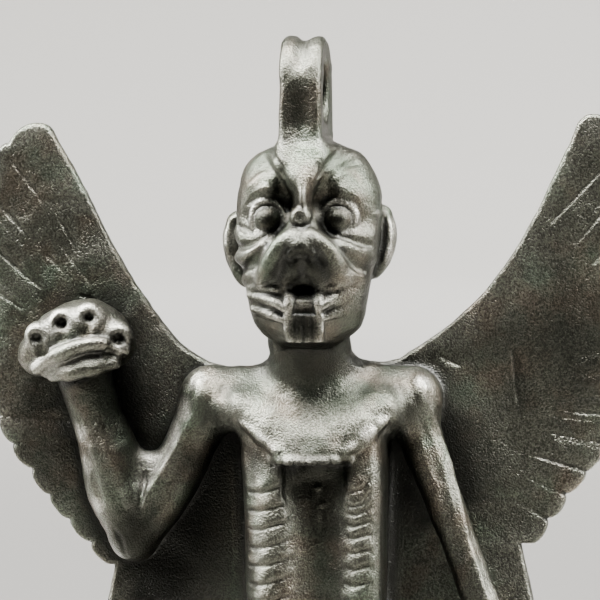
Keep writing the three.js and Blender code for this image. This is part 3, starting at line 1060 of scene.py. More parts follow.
@dataclass
class Arms:
    """The right arm, folded up with the paw raised, and the left, which hangs beside the body."""

    elbow: Row = (-21.7, 1.0, 88.4)
    raised_paw: Row = (-28.6, -0.4, 110.9)
    lowered_paw: Row = (29.4, -3.4, 63.0)
    lowered_turn: float = 154.0

    def sculpt(self, clay: Clay) -> None:
        """Adds both arms with their paws."""
        self.raised(clay)
        self.hanging(clay)

    def raised(self, clay: Clay) -> None:
        """Adds the right arm, with the fold that fills the inside of its elbow.

        Args:
            clay: The worked clay.
        """
        upper = [
            [-12.4, 0.0, SHOULDER, 3.6], [-14.6, 0.2, 100.4, 3.2], [-17.8, 0.6, 94.2, 3.1],
            [*self.elbow, 2.8],
        ]
        forearm = [
            [*self.elbow, 2.6], [-24.2, 0.6, 93.6, 3.3], [-24.9, 0.4, 98.6, 3.6],
            [-26.4, 0.2, 103.4, 3.1], [-27.8, -0.2, 108, 3.3],
        ]
        fold = [[-20.4, 0.6, 97.2, 1.5], [-20.9, 0.3, 93.6, 2.2]]
        clay.add(Limb(upper), Limb(forearm), blend=1.2)
        clay.add(Limb(fold), blend=2.4)
        Paw(self.raised_paw).sculpt(clay)
        clay.draw(
            Mark("flat front of the upper arm", 0.5,
                 [[-13.4, 104.6, 0.5], [-15.6, 101.0, 1.1], [-17.5, 97.6, 1.2], [-19.3, 94.6, 1.1],
                  [-20.6, 92.4, 0.5]]),
            Mark("hollow inside the upper arm", -0.3,
                 [[-12.6, 103.6, 0.5], [-14.6, 99.4, 1.2], [-16.4, 96.0, 1.3], [-18.4, 93.0, 1.1],
                  [-19.8, 91.0, 0.5]]),
            Mark("fold of the elbow", -0.4,
                 [[-20.2, 96.4, 0.4], [-20.4, 94.6, 0.6], [-20.8, 92.2, 0.4]]),
            Mark("ridge of the forearm", 0.35,
                 [[-26.0, 105.0, 0.5], [-24.7, 101.0, 1.4], [-23.3, 97.0, 1.4], [-22.3, 92.6, 0.6]]),
            Mark("hollow outside the forearm", -0.25,
                 [[-28.2, 103.0, 0.5], [-26.9, 97.6, 1.1], [-25.3, 92.4, 0.5]]),
            Mark("dent at the elbow", -0.2,
                 [[-24.0, 89.6, 0.3], [-23.2, 88.2, 0.6], [-22.6, 86.2, 0.3]]),
        )

    def hanging(self, clay: Clay) -> None:
        """Adds the left arm, and works both shoulders.

        Args:
            clay: The worked clay.
        """
        arm = [
            [12.2, 0.4, SHOULDER, 3.3], [13.9, -0.2, 100, 2.6], [16.0, -0.6, 94.2, 2.3],
            [18.7, -1.0, 87.2, 2.1], [21.4, -1.8, 80.5, 2.3], [24.6, -2.6, 73.5, 2.4],
            [27.4, -3.2, 67.4, 2.3],
        ]
        clay.add(Limb(arm), blend=1.6)
        clay.draw(
            Mark("right shoulder's edge", 0.45,
                 [[-13.5, 107.9, 0.8], [-13.2, 106.4, 1.7], [-13.8, 104.6, 1.0]]),
            Mark("right shoulder's hollow", -0.35,
                 [[-10.4, 107.2, 0.8], [-10.0, 105.4, 1.8], [-9.8, 103.4, 1.0]]),
            Mark("left shoulder's edge", 0.45,
                 [[13.2, 108.9, 0.6], [13.6, 107.6, 1.3], [14.0, 105.8, 1.0]]),
            Mark("left shoulder's hollow", -0.35,
                 [[11.2, 107.4, 0.8], [11.6, 105.6, 1.6], [12.0, 103.4, 0.9]]),
        )
        Paw(self.lowered_paw, turn=self.lowered_turn, side=-1).sculpt(clay)
        ridge = [
            [15.0, 104.6, 0.3], [16.3, 100.5, 0.8], [17.9, 95.3, 0.8],
            [19.2, 89.8, 0.8], [21.0, 84.2, 0.8], [23.4, 78, 0.4],
        ]
        clay.stroke(ridge, 0.3)
        clay.stroke([[x - 1.5, z - 0.6, 1.2 * reach] for x, z, reach in ridge], -0.2)


def scallops(notches: np.ndarray, bulge: float) -> list[np.ndarray]:
    """Feather ends between notches, each a curve that stands out.

    Args:
        notches: The notches, in order.
        bulge: How far the curves' middle knots stand out.

    Returns:
        The points of each curve.
    """
    made = []
    for a, b in zip(notches, notches[1:]):
        along = b - a
        out = np.array([along[1], -along[0]]) * (-bulge / np.linalg.norm(along))
        made.append(bezier(a, a + 0.1 * along + out, a + 0.85 * along + out, b, count=7))
    return made


@dataclass(kw_only=True)
class Wing:
    """What all four wings share: a flat plate whose feather ends are parted by lines, front and back.

    An outline is drawn as on the figure's left, in (x, z), and turned over for its right. A quill's widths
    are half its width at the notch, and how much of that is lost on the way in.
    """

    side: int
    feathers: int
    bulge: float = 1.0
    thick: float = 2.0
    near: float = 3.2
    rounding: float = 0.55
    root: float = -0.5
    quill_widths: tuple[float, float]
    back_cut: float = 0.24

    def outline(self) -> tuple[np.ndarray, np.ndarray]:
        """The wing's outline, and the notches between its feather ends."""
        raise NotImplementedError

    def plate(self, clay: Clay) -> np.ndarray:
        """Adds the wing's plate.

        Args:
            clay: The worked clay.

        Returns:
            The notches between the feather ends, on the wing's own side.
        """
        outline, notches = self.outline()
        flip = np.array([self.side, 1])
        far = self.near + self.thick
        clay.add(Plate(outline * flip, axis=1, near=self.near, far=far, rounding=self.rounding))
        return notches * flip

    def quill(self, clay: Clay, notch: np.ndarray, heading: float, length: float, cut: float) -> None:
        """Cuts the line that runs into the wing from one notch, front and back.

        Args:
            clay: The worked clay.
            notch: Where the line starts.
            heading: Its heading in radians, on the left wing.
            length: Its length.
            cut: Its depth in front.
        """
        away = np.array([-math.cos(heading) * self.side, -math.sin(heading)])
        wide, lost = self.quill_widths
        rows = [[*(notch + away * t * length), wide - lost * t] for t in (0.02, 0.5, 1.0)]
        clay.stroke(rows, -cut)
        clay.stroke(rows, -self.back_cut, side=Side.BACK)


@dataclass(kw_only=True)
class UpperWing(Wing):
    """An upper wing: a bare leading edge up to the tip, then feather ends down to the body."""

    lead: Sequence[Row]
    notch: Row
    trail: Sequence[Row]
    feathers: int = 15
    headings: tuple[float, float] = (54, -30)
    quill_depths: tuple[float, float] = (0.2, 0.2)
    quill_widths: tuple[float, float] = (0.36, 0.16)
    quill_length: float = 10.5
    quill_loss: float = 3.5
    quill_variation: float = 1.6
    root_top: float = 108.0
    marks: Sequence[Sequence[Row]] = ()
    mark_depth: float = 0.3

    def sculpt(self, clay: Clay) -> None:
        """Adds the wing's plate and cuts the lines that part its feathers.

        Args:
            clay: The worked clay.
        """
        self.quills(clay, self.plate(clay))
        for mark in self.marks:
            clay.stroke(mark, -self.mark_depth)

    def outline(self) -> tuple[np.ndarray, np.ndarray]:
        """The wing's outline, and the notches between its feather ends.

        Returns:
            Rows of (x, z) for the outline, and for the notches.
        """
        start = [[self.root, self.trail[-1][1]], [self.root, self.root_top]]
        lead = spline(self.lead, 24)
        x, z = self.lead[-1]
        tip = bezier((x, z), (x + 1.0, z + 1.6), (self.notch[0] - 1.4, z + 1.6), self.notch)
        notches = evenly(spline([self.notch, *self.trail], 200), self.feathers)
        parts = [np.array(start), lead, tip, *scallops(notches, self.bulge)]
        return np.concatenate(parts), notches

    def quills(self, clay: Clay, notches: np.ndarray) -> None:
        """Cuts one line in from each notch, front and back.

        Args:
            clay: The worked clay.
            notches: The notches between its feather ends.
        """
        inner = notches[1:-1]
        for i, notch in enumerate(inner):
            share = i / (len(inner) - 1)
            heading = math.radians(np.interp(share, (0, 1), self.headings))
            length = self.quill_length - self.quill_loss * share + self.quill_variation * math.sin(i * 2.4)
            cut = float(np.interp(share, (0, 1), self.quill_depths))
            self.quill(clay, notch, heading, length, cut)


@dataclass(kw_only=True)
class LowerWing(Wing):
    """A lower wing, which hangs down and out behind the leg, from its top's reach across to its hem's."""

    top: float
    hem: float
    feathers: int = 8
    top_height: float = 92.0
    hem_height: float = 48.0
    headings: tuple[float, float] = (-66, -104)
    quill_widths: tuple[float, float] = (0.42, 0.1)
    quill_length: float = 12.0
    quill_depth: float = 0.3

    def sculpt(self, clay: Clay) -> None:
        """Adds the wing's plate and cuts its long feather lines.

        Args:
            clay: The worked clay.
        """
        inner = self.plate(clay)[1:-1]
        for i, notch in enumerate(inner):
            heading = np.radians(np.interp(i, (0, len(inner) - 1), self.headings))
            self.quill(clay, notch, heading, self.quill_length, self.quill_depth)

    def outline(self) -> tuple[np.ndarray, np.ndarray]:
        """The wing's outline, and the notches between its feather ends.

        Returns:
            Rows of (x, z) for the outline, and for the notches.
        """
        top, hem, root, high, low = self.top, self.hem, self.root, self.top_height, self.hem_height
        start = np.array([[root, HIP], [root, high], [top, high]])
        outer = bezier((top, high), (top + 2.4, high - 12), (hem - 0.2, HIP), (hem, low), count=20)
        knots = [[hem, low], [hem - 3.4, low - 12], [hem - 11, low - 14.5], [hem - 18, low - 10]]
        notches = evenly(spline(knots, 120), self.feathers)
        inner = bezier(notches[-1], (9, low), (5, low + 8), (root, HIP), count=14)
        return np.concatenate([start, outer, *scallops(notches, self.bulge), inner]), notches


@dataclass
class Head:
    """The head: a square skull with a snarling lion's face, bulging ringed eyes and round ears."""

    half: float = 8.7
    middle: float = 0.45
    eye: Row = (4.25, -11.25, 128.1)
    eye_radius: float = 1.65
    eye_shift: float = 0.4
    lid: float = 2.0
    lid_radius: float = 0.38
    lid_bend: float = 0.5
    boss: Row = (0.15, -13.5, 128.4)
    nose_middle: float = 0.4
    nostril: float = 1.25
    fangs: tuple[float, float] = (-1.3, 2.2)

    def sculpt(self, clay: Clay) -> None:
        """Builds the head from the skull outwards.

        Args:
            clay: The worked clay.
        """
        self.skull(clay)
        self.ears(clay)
        self.brows(clay)
        self.eyes(clay)
        self.cheeks(clay)
        self.nose(clay)
        self.mouth(clay)
        self.beard(clay)

    def skull(self, clay: Clay) -> None:
        """Adds the skull and jaw, with the face drawn by a profile down its middle and five on each side.

        Args:
            clay: The worked clay.
        """
        half = self.half
        rows = [
            [112.4, 3.4, -17, -5.0], [114.0, 5.8, -17, -2.4], [116.0, half - 1.9, -18, 0.0],
            [118.8, half - 1.4, -19, 1.4], [121.8, half - 0.9, -19, 2.6],
            [124.8, half - 0.3, -19, 3.4], [127.4, half, -19, 3.8], [130.2, half, -18, 3.6],
            [132.2, half - 0.3, -17, 2.9], [134.2, half - 1.0, -16, 1.6],
            [135.8, half - 2.4, -15, 0.0], [136.9, half - 5.0, -14, -2.0],
        ]
        centre = [
            [138.8, 11.6], [137.4, 12.0], [135.5, 13.1], [133.6, 14.2], [132.0, 15.0], [130.8, 15.2],
            [129.6, 14.3], [128.2, 13.8], [127.4, 14.1], [126.4, 15.0], [125.5, 15.7], [124.8, 15.6],
            [124.0, 15.1], [122.8, 14.5], [121.6, 13.9], [120.5, 13.3], [119.4, 12.9], [118.0, 12.8],
            [116.6, 12.8], [115.0, 12.6], [113.6, 12.0], [112.4, 10.8],
        ]
        near = [
            [138.8, 11.6], [137.4, 12.0], [135.5, 13.1], [134.0, 13.9], [132.9, 14.1], [131.8, 13.3],
            [130.6, 12.1], [129.4, 11.7], [128.3, 12.2], [127.3, 13.4], [126.4, 14.5], [125.4, 15.2],
            [124.7, 15.1], [123.8, 14.7], [122.6, 14.2], [121.5, 13.7], [120.4, 13.1], [119.4, 12.8],
            [118.0, 12.8], [116.6, 12.7], [115.0, 12.4], [113.6, 11.6], [112.4, 10.4],
        ]
        inner = [
            [138.5, 11.2], [136.8, 12.1], [135.4, 12.9], [134.4, 12.9], [133.4, 12.5], [132.2, 12.0],
            [131.0, 11.4], [129.8, 10.9], [128.6, 10.9], [127.5, 11.8], [126.4, 13.1], [125.2, 14.4],
            [124.3, 14.6], [123.2, 14.3], [122.2, 13.9], [121.2, 13.4], [120.3, 13.0], [119.4, 12.8],
            [118.0, 12.7], [116.6, 12.5], [115.0, 11.9], [113.6, 11.0], [112.4, 9.6],
        ]
        eye = [
            [138.0, 6.0], [136.4, 8.8], [135.0, 10.2], [133.5, 11.5], [132.2, 12.3], [131.2, 12.4],
            [130.4, 11.8], [129.3, 11.1], [128.0, 10.9], [126.9, 11.3], [125.9, 12.1], [124.9, 12.9],
            [123.6, 13.4], [122.6, 13.4], [121.6, 13.1], [120.6, 12.7], [119.6, 12.5], [118.0, 12.3],
            [116.5, 11.8], [115.0, 10.9], [113.6, 9.3], [112.4, 7.5],
        ]
        cheek = [
            [137.0, 4.5], [135.5, 7.4], [134.0, 9.1], [132.5, 10.4], [131.0, 11.1], [129.6, 10.9],
            [128.2, 10.5], [127.1, 10.7], [126.0, 11.1], [124.9, 11.2], [123.8, 11.1], [122.6, 11.1],
            [121.6, 11.2], [120.6, 11.2], [119.4, 11.2], [118.0, 10.9], [116.5, 10.1], [115.0, 8.7],
            [113.6, 6.5], [112.4, 4.6],
        ]
        temple = [
            [136.0, 3.0], [134.5, 5.4], [133.0, 7.1], [131.5, 8.3], [130.0, 8.9], [128.5, 9.0],
            [127.2, 9.2], [126.0, 9.7], [124.8, 9.1], [123.6, 8.6], [122.4, 8.2], [121.0, 8.2],
            [119.5, 8.2], [118.0, 7.8], [116.5, 6.8], [115.0, 5.0], [113.6, 2.8], [112.4, 1.0],
        ]
        sides = ((0.0, centre), (1.3, near), (2.6, inner), (4.4, eye), (6.6, cheek), (8.6, temple))
        profiles = [(self.middle - place, rows) for place, rows in sides[:0:-1]]
        profiles += [(self.middle + place, rows) for place, rows in sides]
        clay.add(Relief(Column(rows, 2.5, self.middle), profiles), blend=0.8)

    def ears(self, clay: Clay) -> None:
        """Adds a cupped ear on each side of the head.

        Args:
            clay: The worked clay.
        """
        left = [
            [-8.7, -2.2, 127.3, 1.35], [-9.1, -2.2, 125.2, 1.45], [-8.9, -2.3, 123.2, 1.3],
            [-8.3, -2.6, 121.4, 1.1], [-7.6, -3.0, 120.2, 0.8],
        ]
        right = [
            [8.9, -2.2, 128.0, 1.3], [9.3, -2.2, 126.0, 1.4], [9.1, -2.3, 124.1, 1.3],
            [8.6, -2.6, 122.5, 1.1], [8.1, -3.0, 121.4, 0.8],
        ]
        for rows, side, cup in ((left, -1, 0.25), (right, 1, 0.1)):
            clay.add(Limb(rows), blend=0.8)
            reach = (0.4, 1.0, 0.4)
            clay.stroke([[x + 0.1 * side, z, r] for (x, _, z, _), r in zip(rows, reach)], -cup)
            rim = [[x + 0.75 * side, z + 0.2, 0.55] for x, _, z, _ in rows[:4]]
            clay.stroke([[rows[0][0] - 0.2 * side, rows[0][2] + 0.7, 0.4], *rim], 0.3)

    def brows(self, clay: Clay) -> None:
        """Deepens the valleys beside the wedge and the sockets, and raises the folds along the brows.

        Args:
            clay: The worked clay.
        """
        clay.draw(
            Mark("right valley of the wedge", -0.3,
                 [[-2.7, 132.6, 0.5], [-2.2, 131.4, 1.2], [-1.8, 130.0, 1.2], [-2.0, 128.9, 0.6]]),
            Mark("left valley of the wedge", -0.3,
                 [[3.0, 133.2, 0.4], [2.4, 132.0, 1.0], [1.9, 130.6, 1.1], [1.9, 129.2, 0.6]]),
            Mark("right brow's upper fold", 0.4,
                 [[-5.0, 135.9, 0.3], [-3.9, 135.6, 0.9], [-2.8, 134.5, 0.9], [-2.0, 133.0, 0.4]]),
            Mark("right brow's crease", -0.35,
                 [[-3.9, 136.7, 0.3], [-3.1, 135.7, 0.6], [-2.3, 134.4, 0.6], [-1.6, 132.9, 0.4]]),
            Mark("left brow's upper fold", 0.4,
                 [[6.8, 135.9, 0.3], [5.6, 135.5, 0.9], [4.3, 134.4, 0.9], [3.1, 133.2, 0.4]]),
            Mark("left brow's crease", -0.4,
                 [[4.9, 136.8, 0.3], [4.0, 135.7, 0.7], [3.1, 134.5, 0.8], [2.2, 133.2, 0.4]]),
            Mark("left brow's lower fold", 0.3,
                 [[7.2, 134.2, 0.3], [5.9, 134.0, 0.7], [4.6, 133.2, 0.8], [3.5, 132.4, 0.4]]),
            Mark("right brow's lower fold", 0.3,
                 [[-6.9, 131.2, 0.3], [-5.9, 132.2, 0.9], [-4.6, 133.2, 1.0], [-3.2, 132.7, 0.5]]),
            Mark("crease over the right eye", -0.35,
                 [[-6.8, 129.6, 0.3], [-5.7, 130.7, 0.7], [-4.2, 131.2, 0.7], [-2.7, 130.9, 0.4]]),
            Mark("crease over the left eye", -0.12,
                 [[3.2, 131.0, 0.3], [4.4, 131.4, 0.6], [5.8, 131.0, 0.6], [6.9, 129.8, 0.4]]),
        )

    def eyes(self, clay: Clay) -> None:
        """Sets a ball in a soft ringed lid in each socket, with a pitted boss between them.

        Args:
            clay: The worked clay.
        """
        x, y, z = self.eye
        for side in (1, -1):
            middle = self.middle * self.eye_shift + side * x
            socket = Lump((middle, y - 1.2, z), (2.3, 1.6, 2.3))
            ball = Lump((middle, y + 0.4, z - 0.1), (self.eye_radius, 1.9, self.eye_radius))
            clay.cut(socket, blend=0.8)
            clay.add(ball, blend=0.35)
            upper, lower = [], []
            for turn in range(-10, 191, 20):
                a = math.radians(turn)
                across, rise = middle + self.lid * math.cos(a), self.lid * math.sin(a)
                away = -self.lid_bend * abs(math.cos(a))
                upper.append([across, y - 0.2 - away, z + rise, self.lid_radius])
                lower.append([across, y - 0.1 - away, z - rise, self.lid_radius])
            clay.add(Limb(upper, steps=2), blend=0.45)
            clay.add(Limb(lower, steps=2), blend=0.45)
            crease = [[middle - 2.2, z + 1.9, 0.3], [middle, z + 2.9, 0.6], [middle + 2.2, z + 1.9, 0.3]]
            clay.stroke(crease, -0.3)
        clay.draw(
            Mark("crease under the right eye", -0.25,
                 [[-6.2, 126.0, 0.3], [-4.9, 125.1, 0.6], [-3.3, 125.2, 0.6], [-2.0, 126.1, 0.3]]),
            Mark("crease under the left eye", -0.25,
                 [[2.4, 126.2, 0.3], [3.4, 125.4, 0.6], [4.7, 125.2, 0.6], [6.2, 126.0, 0.3]]),
        )
        clay.add(Lump(self.boss, (1.25, 1.3, 1.25)), blend=0.4)
        pit = [[self.boss[0], self.boss[2] - 0.05, 0.9]]
        clay.stroke(pit, -0.6)

    def cheeks(self, clay: Clay) -> None:
        """Cuts the creases that sweep back from the muzzle to the ears, and leaves folds between them.

        Args:
            clay: The worked clay.
        """
        folds = (
            [
                [-4.3, -11.4, 125.8, 0.5], [-5.8, -10.7, 125.5, 0.5],
                [-7.0, -9.4, 125.5, 0.5], [-7.8, -7.6, 126.3, 0.6],
            ],
            [
                [4.8, -11.4, 126.0, 0.5], [6.2, -10.7, 125.9, 0.65],
                [7.3, -9.3, 126.0, 0.7], [8.2, -7.4, 126.3, 0.6],
            ],
            [
                [-4.6, -12.4, 124.9, 0.5], [-6.0, -11.5, 123.9, 0.8],
                [-7.0, -9.9, 123.4, 0.8], [-7.8, -8.0, 123.2, 0.6],
            ],
            [
                [4.6, -12.4, 125.0, 0.5], [6.0, -11.4, 124.4, 0.8],
                [7.2, -9.8, 123.6, 0.8], [8.0, -8.0, 123.2, 0.6],
            ],
            [[-5.2, -11.6, 121.6, 0.5], [-6.1, -10.7, 121.0, 0.6], [-6.9, -9.2, 120.6, 0.4]],
            [[5.8, -11.6, 121.4, 0.5], [6.7, -10.5, 120.9, 0.6], [7.4, -9.0, 120.5, 0.4]],
        )
        for rows in folds:
            clay.add(Limb(rows), blend=1.0)
        clay.draw(
            Mark("crease below the right temple", -0.3,
                 [[-7.9, 127.0, 0.4], [-7.0, 126.7, 0.6], [-6.0, 126.4, 0.4]]),
            Mark("right cheek's upper crease", -0.5,
                 [[-7.8, 124.6, 0.5], [-6.8, 124.7, 0.8], [-5.6, 125.2, 0.7], [-4.4, 126.0, 0.4]]),
            Mark("right cheek's lower crease", -0.6,
                 [[-7.2, 121.8, 0.5], [-6.4, 122.4, 0.9], [-5.6, 123.4, 0.9], [-4.8, 124.4, 0.4]]),
            Mark("left cheek's upper crease", -0.5,
                 [[4.8, 126.0, 0.4], [6.0, 125.6, 0.7], [7.4, 125.1, 0.8], [8.3, 124.8, 0.5]]),
            Mark("left cheek's lower crease", -0.65,
                 [[4.9, 124.6, 0.4], [5.9, 123.4, 0.9], [6.9, 122.3, 1.0], [7.6, 121.8, 0.6]]),
        )

    def nose(self, clay: Clay) -> None:
        """Raises the folds of the snarl, and shapes the nostrils and whisker pads.

        Args:
            clay: The worked clay.
        """
        folds = (
            [
                [-0.6, -14.5, 126.0, 0.7], [-2.1, -14.3, 125.0, 0.95], [-3.3, -13.8, 123.5, 1.05],
                [-4.2, -13.2, 121.9, 1.0], [-4.9, -12.5, 120.8, 0.7],
            ],
            [
                [1.5, -14.5, 126.1, 0.7], [2.8, -14.2, 125.2, 1.0], [3.8, -13.7, 123.8, 1.1],
                [4.5, -13.0, 122.2, 1.05], [5.2, -12.3, 121.0, 0.7],
            ],
            [[-0.2, -14.0, 123.2, 0.8], [-0.9, -13.6, 122.0, 0.9], [-1.6, -13.0, 120.9, 0.6]],
            [[1.0, -14.0, 123.2, 0.8], [1.8, -13.6, 122.1, 0.9], [2.4, -13.0, 121.0, 0.6]],
        )
        middle = self.nose_middle
        clay.add(Lump((middle, -14.6, 124.9), (1.5, 1.5, 1.1)), blend=0.8)
        for rows in folds:
            clay.add(Limb(rows), blend=0.9)
        for side in (1, -1):
            x = middle + side * self.nostril
            clay.add(Lump((x, -14.7, 124.1), (0.8, 0.8, 0.7)), blend=0.4)
            clay.stroke([[x - 0.4 * side, 123.5, 0.45]], -0.4)
            flank = [[0.5, 124.6, 0.5], [1.1, 123.5, 0.8], [1.5, 122.8, 0.5]]
            clay.stroke([[x + out * side, z, reach] for out, z, reach in flank], -0.2)
        clay.stroke([[middle, 123.0, 0.4], [middle, 122.2, 0.6], [middle, 121.2, 0.4]], -0.2)

    def mouth(self, clay: Clay) -> None:
        """Opens the mouth and shapes its teeth, lips, fangs and tongue.

        Args:
            clay: The worked clay.
        """
        opening = Lump((0.35, -13.4, 119.6), (1.35, 2.2, 0.42))
        clay.cut(opening, blend=0.7)
        lips = (
            [[-6.4, -10.4, 119.5, 0.4], [-4.9, -11.8, 119.7, 0.5], [-3.0, -12.7, 119.5, 0.4]],
            [[7.2, -10.2, 120.2, 0.4], [5.7, -11.7, 120.1, 0.5], [3.8, -12.6, 119.7, 0.4]],
            [
                [-6.3, -10.5, 118.7, 0.4], [-4.6, -11.9, 118.4, 0.5],
                [-2.9, -12.8, 118.0, 0.5], [-1.8, -13.0, 117.2, 0.4],
            ],
            [
                [7.1, -10.1, 119.3, 0.4], [5.4, -11.7, 119.0, 0.5],
                [3.7, -12.7, 118.3, 0.5], [2.7, -13.0, 117.5, 0.4],
            ],
            [[-5.9, -10.5, 117.1, 0.4], [-4.1, -11.8, 116.6, 0.5], [-2.4, -12.5, 116.0, 0.4]],
            [[6.6, -10.3, 117.5, 0.4], [4.8, -11.7, 117.0, 0.5], [3.1, -12.5, 116.2, 0.4]],
        )
        for rows in lips:
            clay.add(Limb(rows), blend=0.55)
        clay.draw(
            Mark("right parting of the lips", -0.15,
                 [[-5.8, 119.2, 0.4], [-4.3, 119.2, 0.5], [-2.6, 119.0, 0.5]]),
            Mark("left parting of the lips", -0.15,
                 [[3.2, 119.2, 0.4], [4.7, 119.7, 0.5], [6.4, 119.9, 0.4]]),
        )
        tongue = Lump((0.4, -12.2, 118.1), (1.5, 1.2, 0.6))
        clay.add(tongue, blend=0.4)
        for x in self.fangs:
            fang = [[x, -12.6, 119.0, 0.45], [x, -12.9, 117.8, 0.6], [x, -12.6, 116.6, 0.4]]
            clay.add(Limb(fang), blend=0.3)

    def beard(self, clay: Clay) -> None:
        """Adds the short square beard and its strands.

        Args:
            clay: The worked clay.
        """
        rows = [[113.2, 2.2, -12.6, -8.0], [114.6, 2.35, -12.9, -8.0], [116.5, 2.4, -13.1, -8.0]]
        clay.add(Column(rows, 6.0, self.middle), blend=0.35)
        for x in (-1.75, 2.6):
            clay.stroke([[x, 116.6, 0.3], [x, 115.0, 0.55], [x, 113.5, 0.4]], 0.4)
        for x, sunk in ((-0.6, -0.2), (0.4, -0.25), (1.4, -0.2)):
            clay.stroke([[x, 116.2, 0.35], [x, 114.8, 0.45], [x, 113.3, 0.35]], sunk)


@dataclass
class Loop:
    """The suspension loop: a broad strap bent into an arch, open from side to side, with a grooved top."""

    width: float = 5.2
    depth: float = 13.5
    middle: float = -5.4
    shift: float = -0.15
    eye: float = 3.3
    eye_rise: float = 0.52
    eye_tallness: float = 1.1
    foot: float = 1.5
    bend_rise: float = 0.66
    bend_reach: float = 0.93
    crest: float = 1.1133
    groove: float = 0.75
    panel: float = 0.3

    def sculpt(self, clay: Clay) -> None:
        """Adds the strap and its flared foot, and cuts its hole and groove.

        Args:
            clay: The worked clay.
        """
        rise = HEIGHT - CROWN
        turn = np.radians(np.arange(0, 360, 12))
        round_eye = np.stack([np.cos(turn) * self.eye, np.sin(turn) * self.eye * self.eye_tallness], 1)
        hole = round_eye + (self.middle, CROWN + self.eye_rise * rise)
        near, far = self.shift - self.width / 2, self.shift + self.width / 2
        flare = [
            [CROWN - 2.4, 4.2, self.middle - 4.4, self.middle + 5.4],
            [CROWN - 0.6, 3.3, self.middle - 5.0, self.middle + 5.8],
            [CROWN + 0.8, 2.2, self.middle - 5.6, self.middle + 6.0],
        ]
        clay.add(Plate(self.arch(rise), axis=0, near=near, far=far, rounding=0.8, hole=hole), blend=1.6)
        clay.add(Column(flare, 3.0, self.shift + 0.3), blend=1.2)
        self.worn_faces(clay)

    def arch(self, rise: float) -> np.ndarray:
        """The strap's outline from the side.

        Args:
            rise: The loop's height over the crown.

        Returns:
            Rows of (y, z).
        """
        half, bend, crest = self.depth / 2, self.bend_rise * rise, self.crest * rise
        reach = self.bend_reach * half
        back_foot, front_foot = (half + 0.2, -self.foot), (-half - 0.2, -self.foot)
        back = bezier(back_foot, (half - 0.4, 0.3 * rise), (half, 0.55 * rise), (reach, bend))
        over = bezier((reach, bend), (0.8 * half, crest), (-0.8 * half, crest), (-reach, bend), 24)
        front = bezier((-reach, bend), (-half, 0.55 * rise), (0.4 - half, 0.3 * rise), front_foot)
        return np.concatenate([[front_foot, back_foot], back, over, front[:-1]]) + (self.middle, CROWN)

    def worn_faces(self, clay: Clay) -> None:
        """Sinks the strap's front face, and cuts the groove that runs over its top.

        Args:
            clay: The worked clay.
        """
        half = self.depth / 2
        front = self.middle - half
        heights = (CROWN + 1.4, CROWN + 4, HEIGHT - 7, HEIGHT - 4.4)
        panel = [[self.shift, front, z, reach] for z, reach in zip(heights, (0.6, 2.2, 2.2, 0.6))]
        clay.swell(np.array(panel), -self.panel)
        groove = []
        for turn in range(-20, 201, 8):
            a = math.radians(turn)
            y = self.middle + (half + 0.55) * math.cos(a)
            z = HEIGHT - half + 0.35 + (half - 0.1) * math.sin(a)
            deep = self.groove * min(1, max(0.1, math.sin(a) + 0.45))
            groove.append([self.shift, y, z, deep])
        clay.cut(Limb(groove, steps=1), blend=0.7)


def linear(code: str) -> tuple[float, float, float, float]:
    """A colour written as six sRGB hex digits, in linear light with full alpha.

    Args:
        code: The digits.

    Returns:
        Red, green, blue and alpha.
    """
    share = [int(code[i : i + 2], 16) / 255 for i in (0, 2, 4)]
    red, green, blue = (s / 12.92 if s <= 0.04045 else ((s + 0.055) / 1.055) ** 2.4 for s in share)
    return red, green, blue, 1.0


def node(
    tree: bpy.types.NodeTree, kind: str, settings: dict | None = None, **links: bpy.types.NodeSocket
) -> bpy.types.Node:
    """Adds a node to a material.

    Args:
        tree: The material's node tree.
        kind: The node's type name, without the part that all share.
        settings: Values for its properties, and for its sockets by name or number.
        links: Sockets to link in, by the name of the input with _ for a space, or by i and its number.

    Returns:
        The node.
    """
    made = tree.nodes.new("ShaderNode" + kind)
    for name, value in (settings or {}).items():
        if isinstance(name, str) and hasattr(made, name):
            setattr(made, name, value)
        else:
            made.inputs[name].default_value = value
    for name, source in links.items():
        key = int(name[1:]) if name[0] == "i" and name[1:].isdigit() else name.replace("_", " ")
        tree.links.new(source, made.inputs[key])
    return made


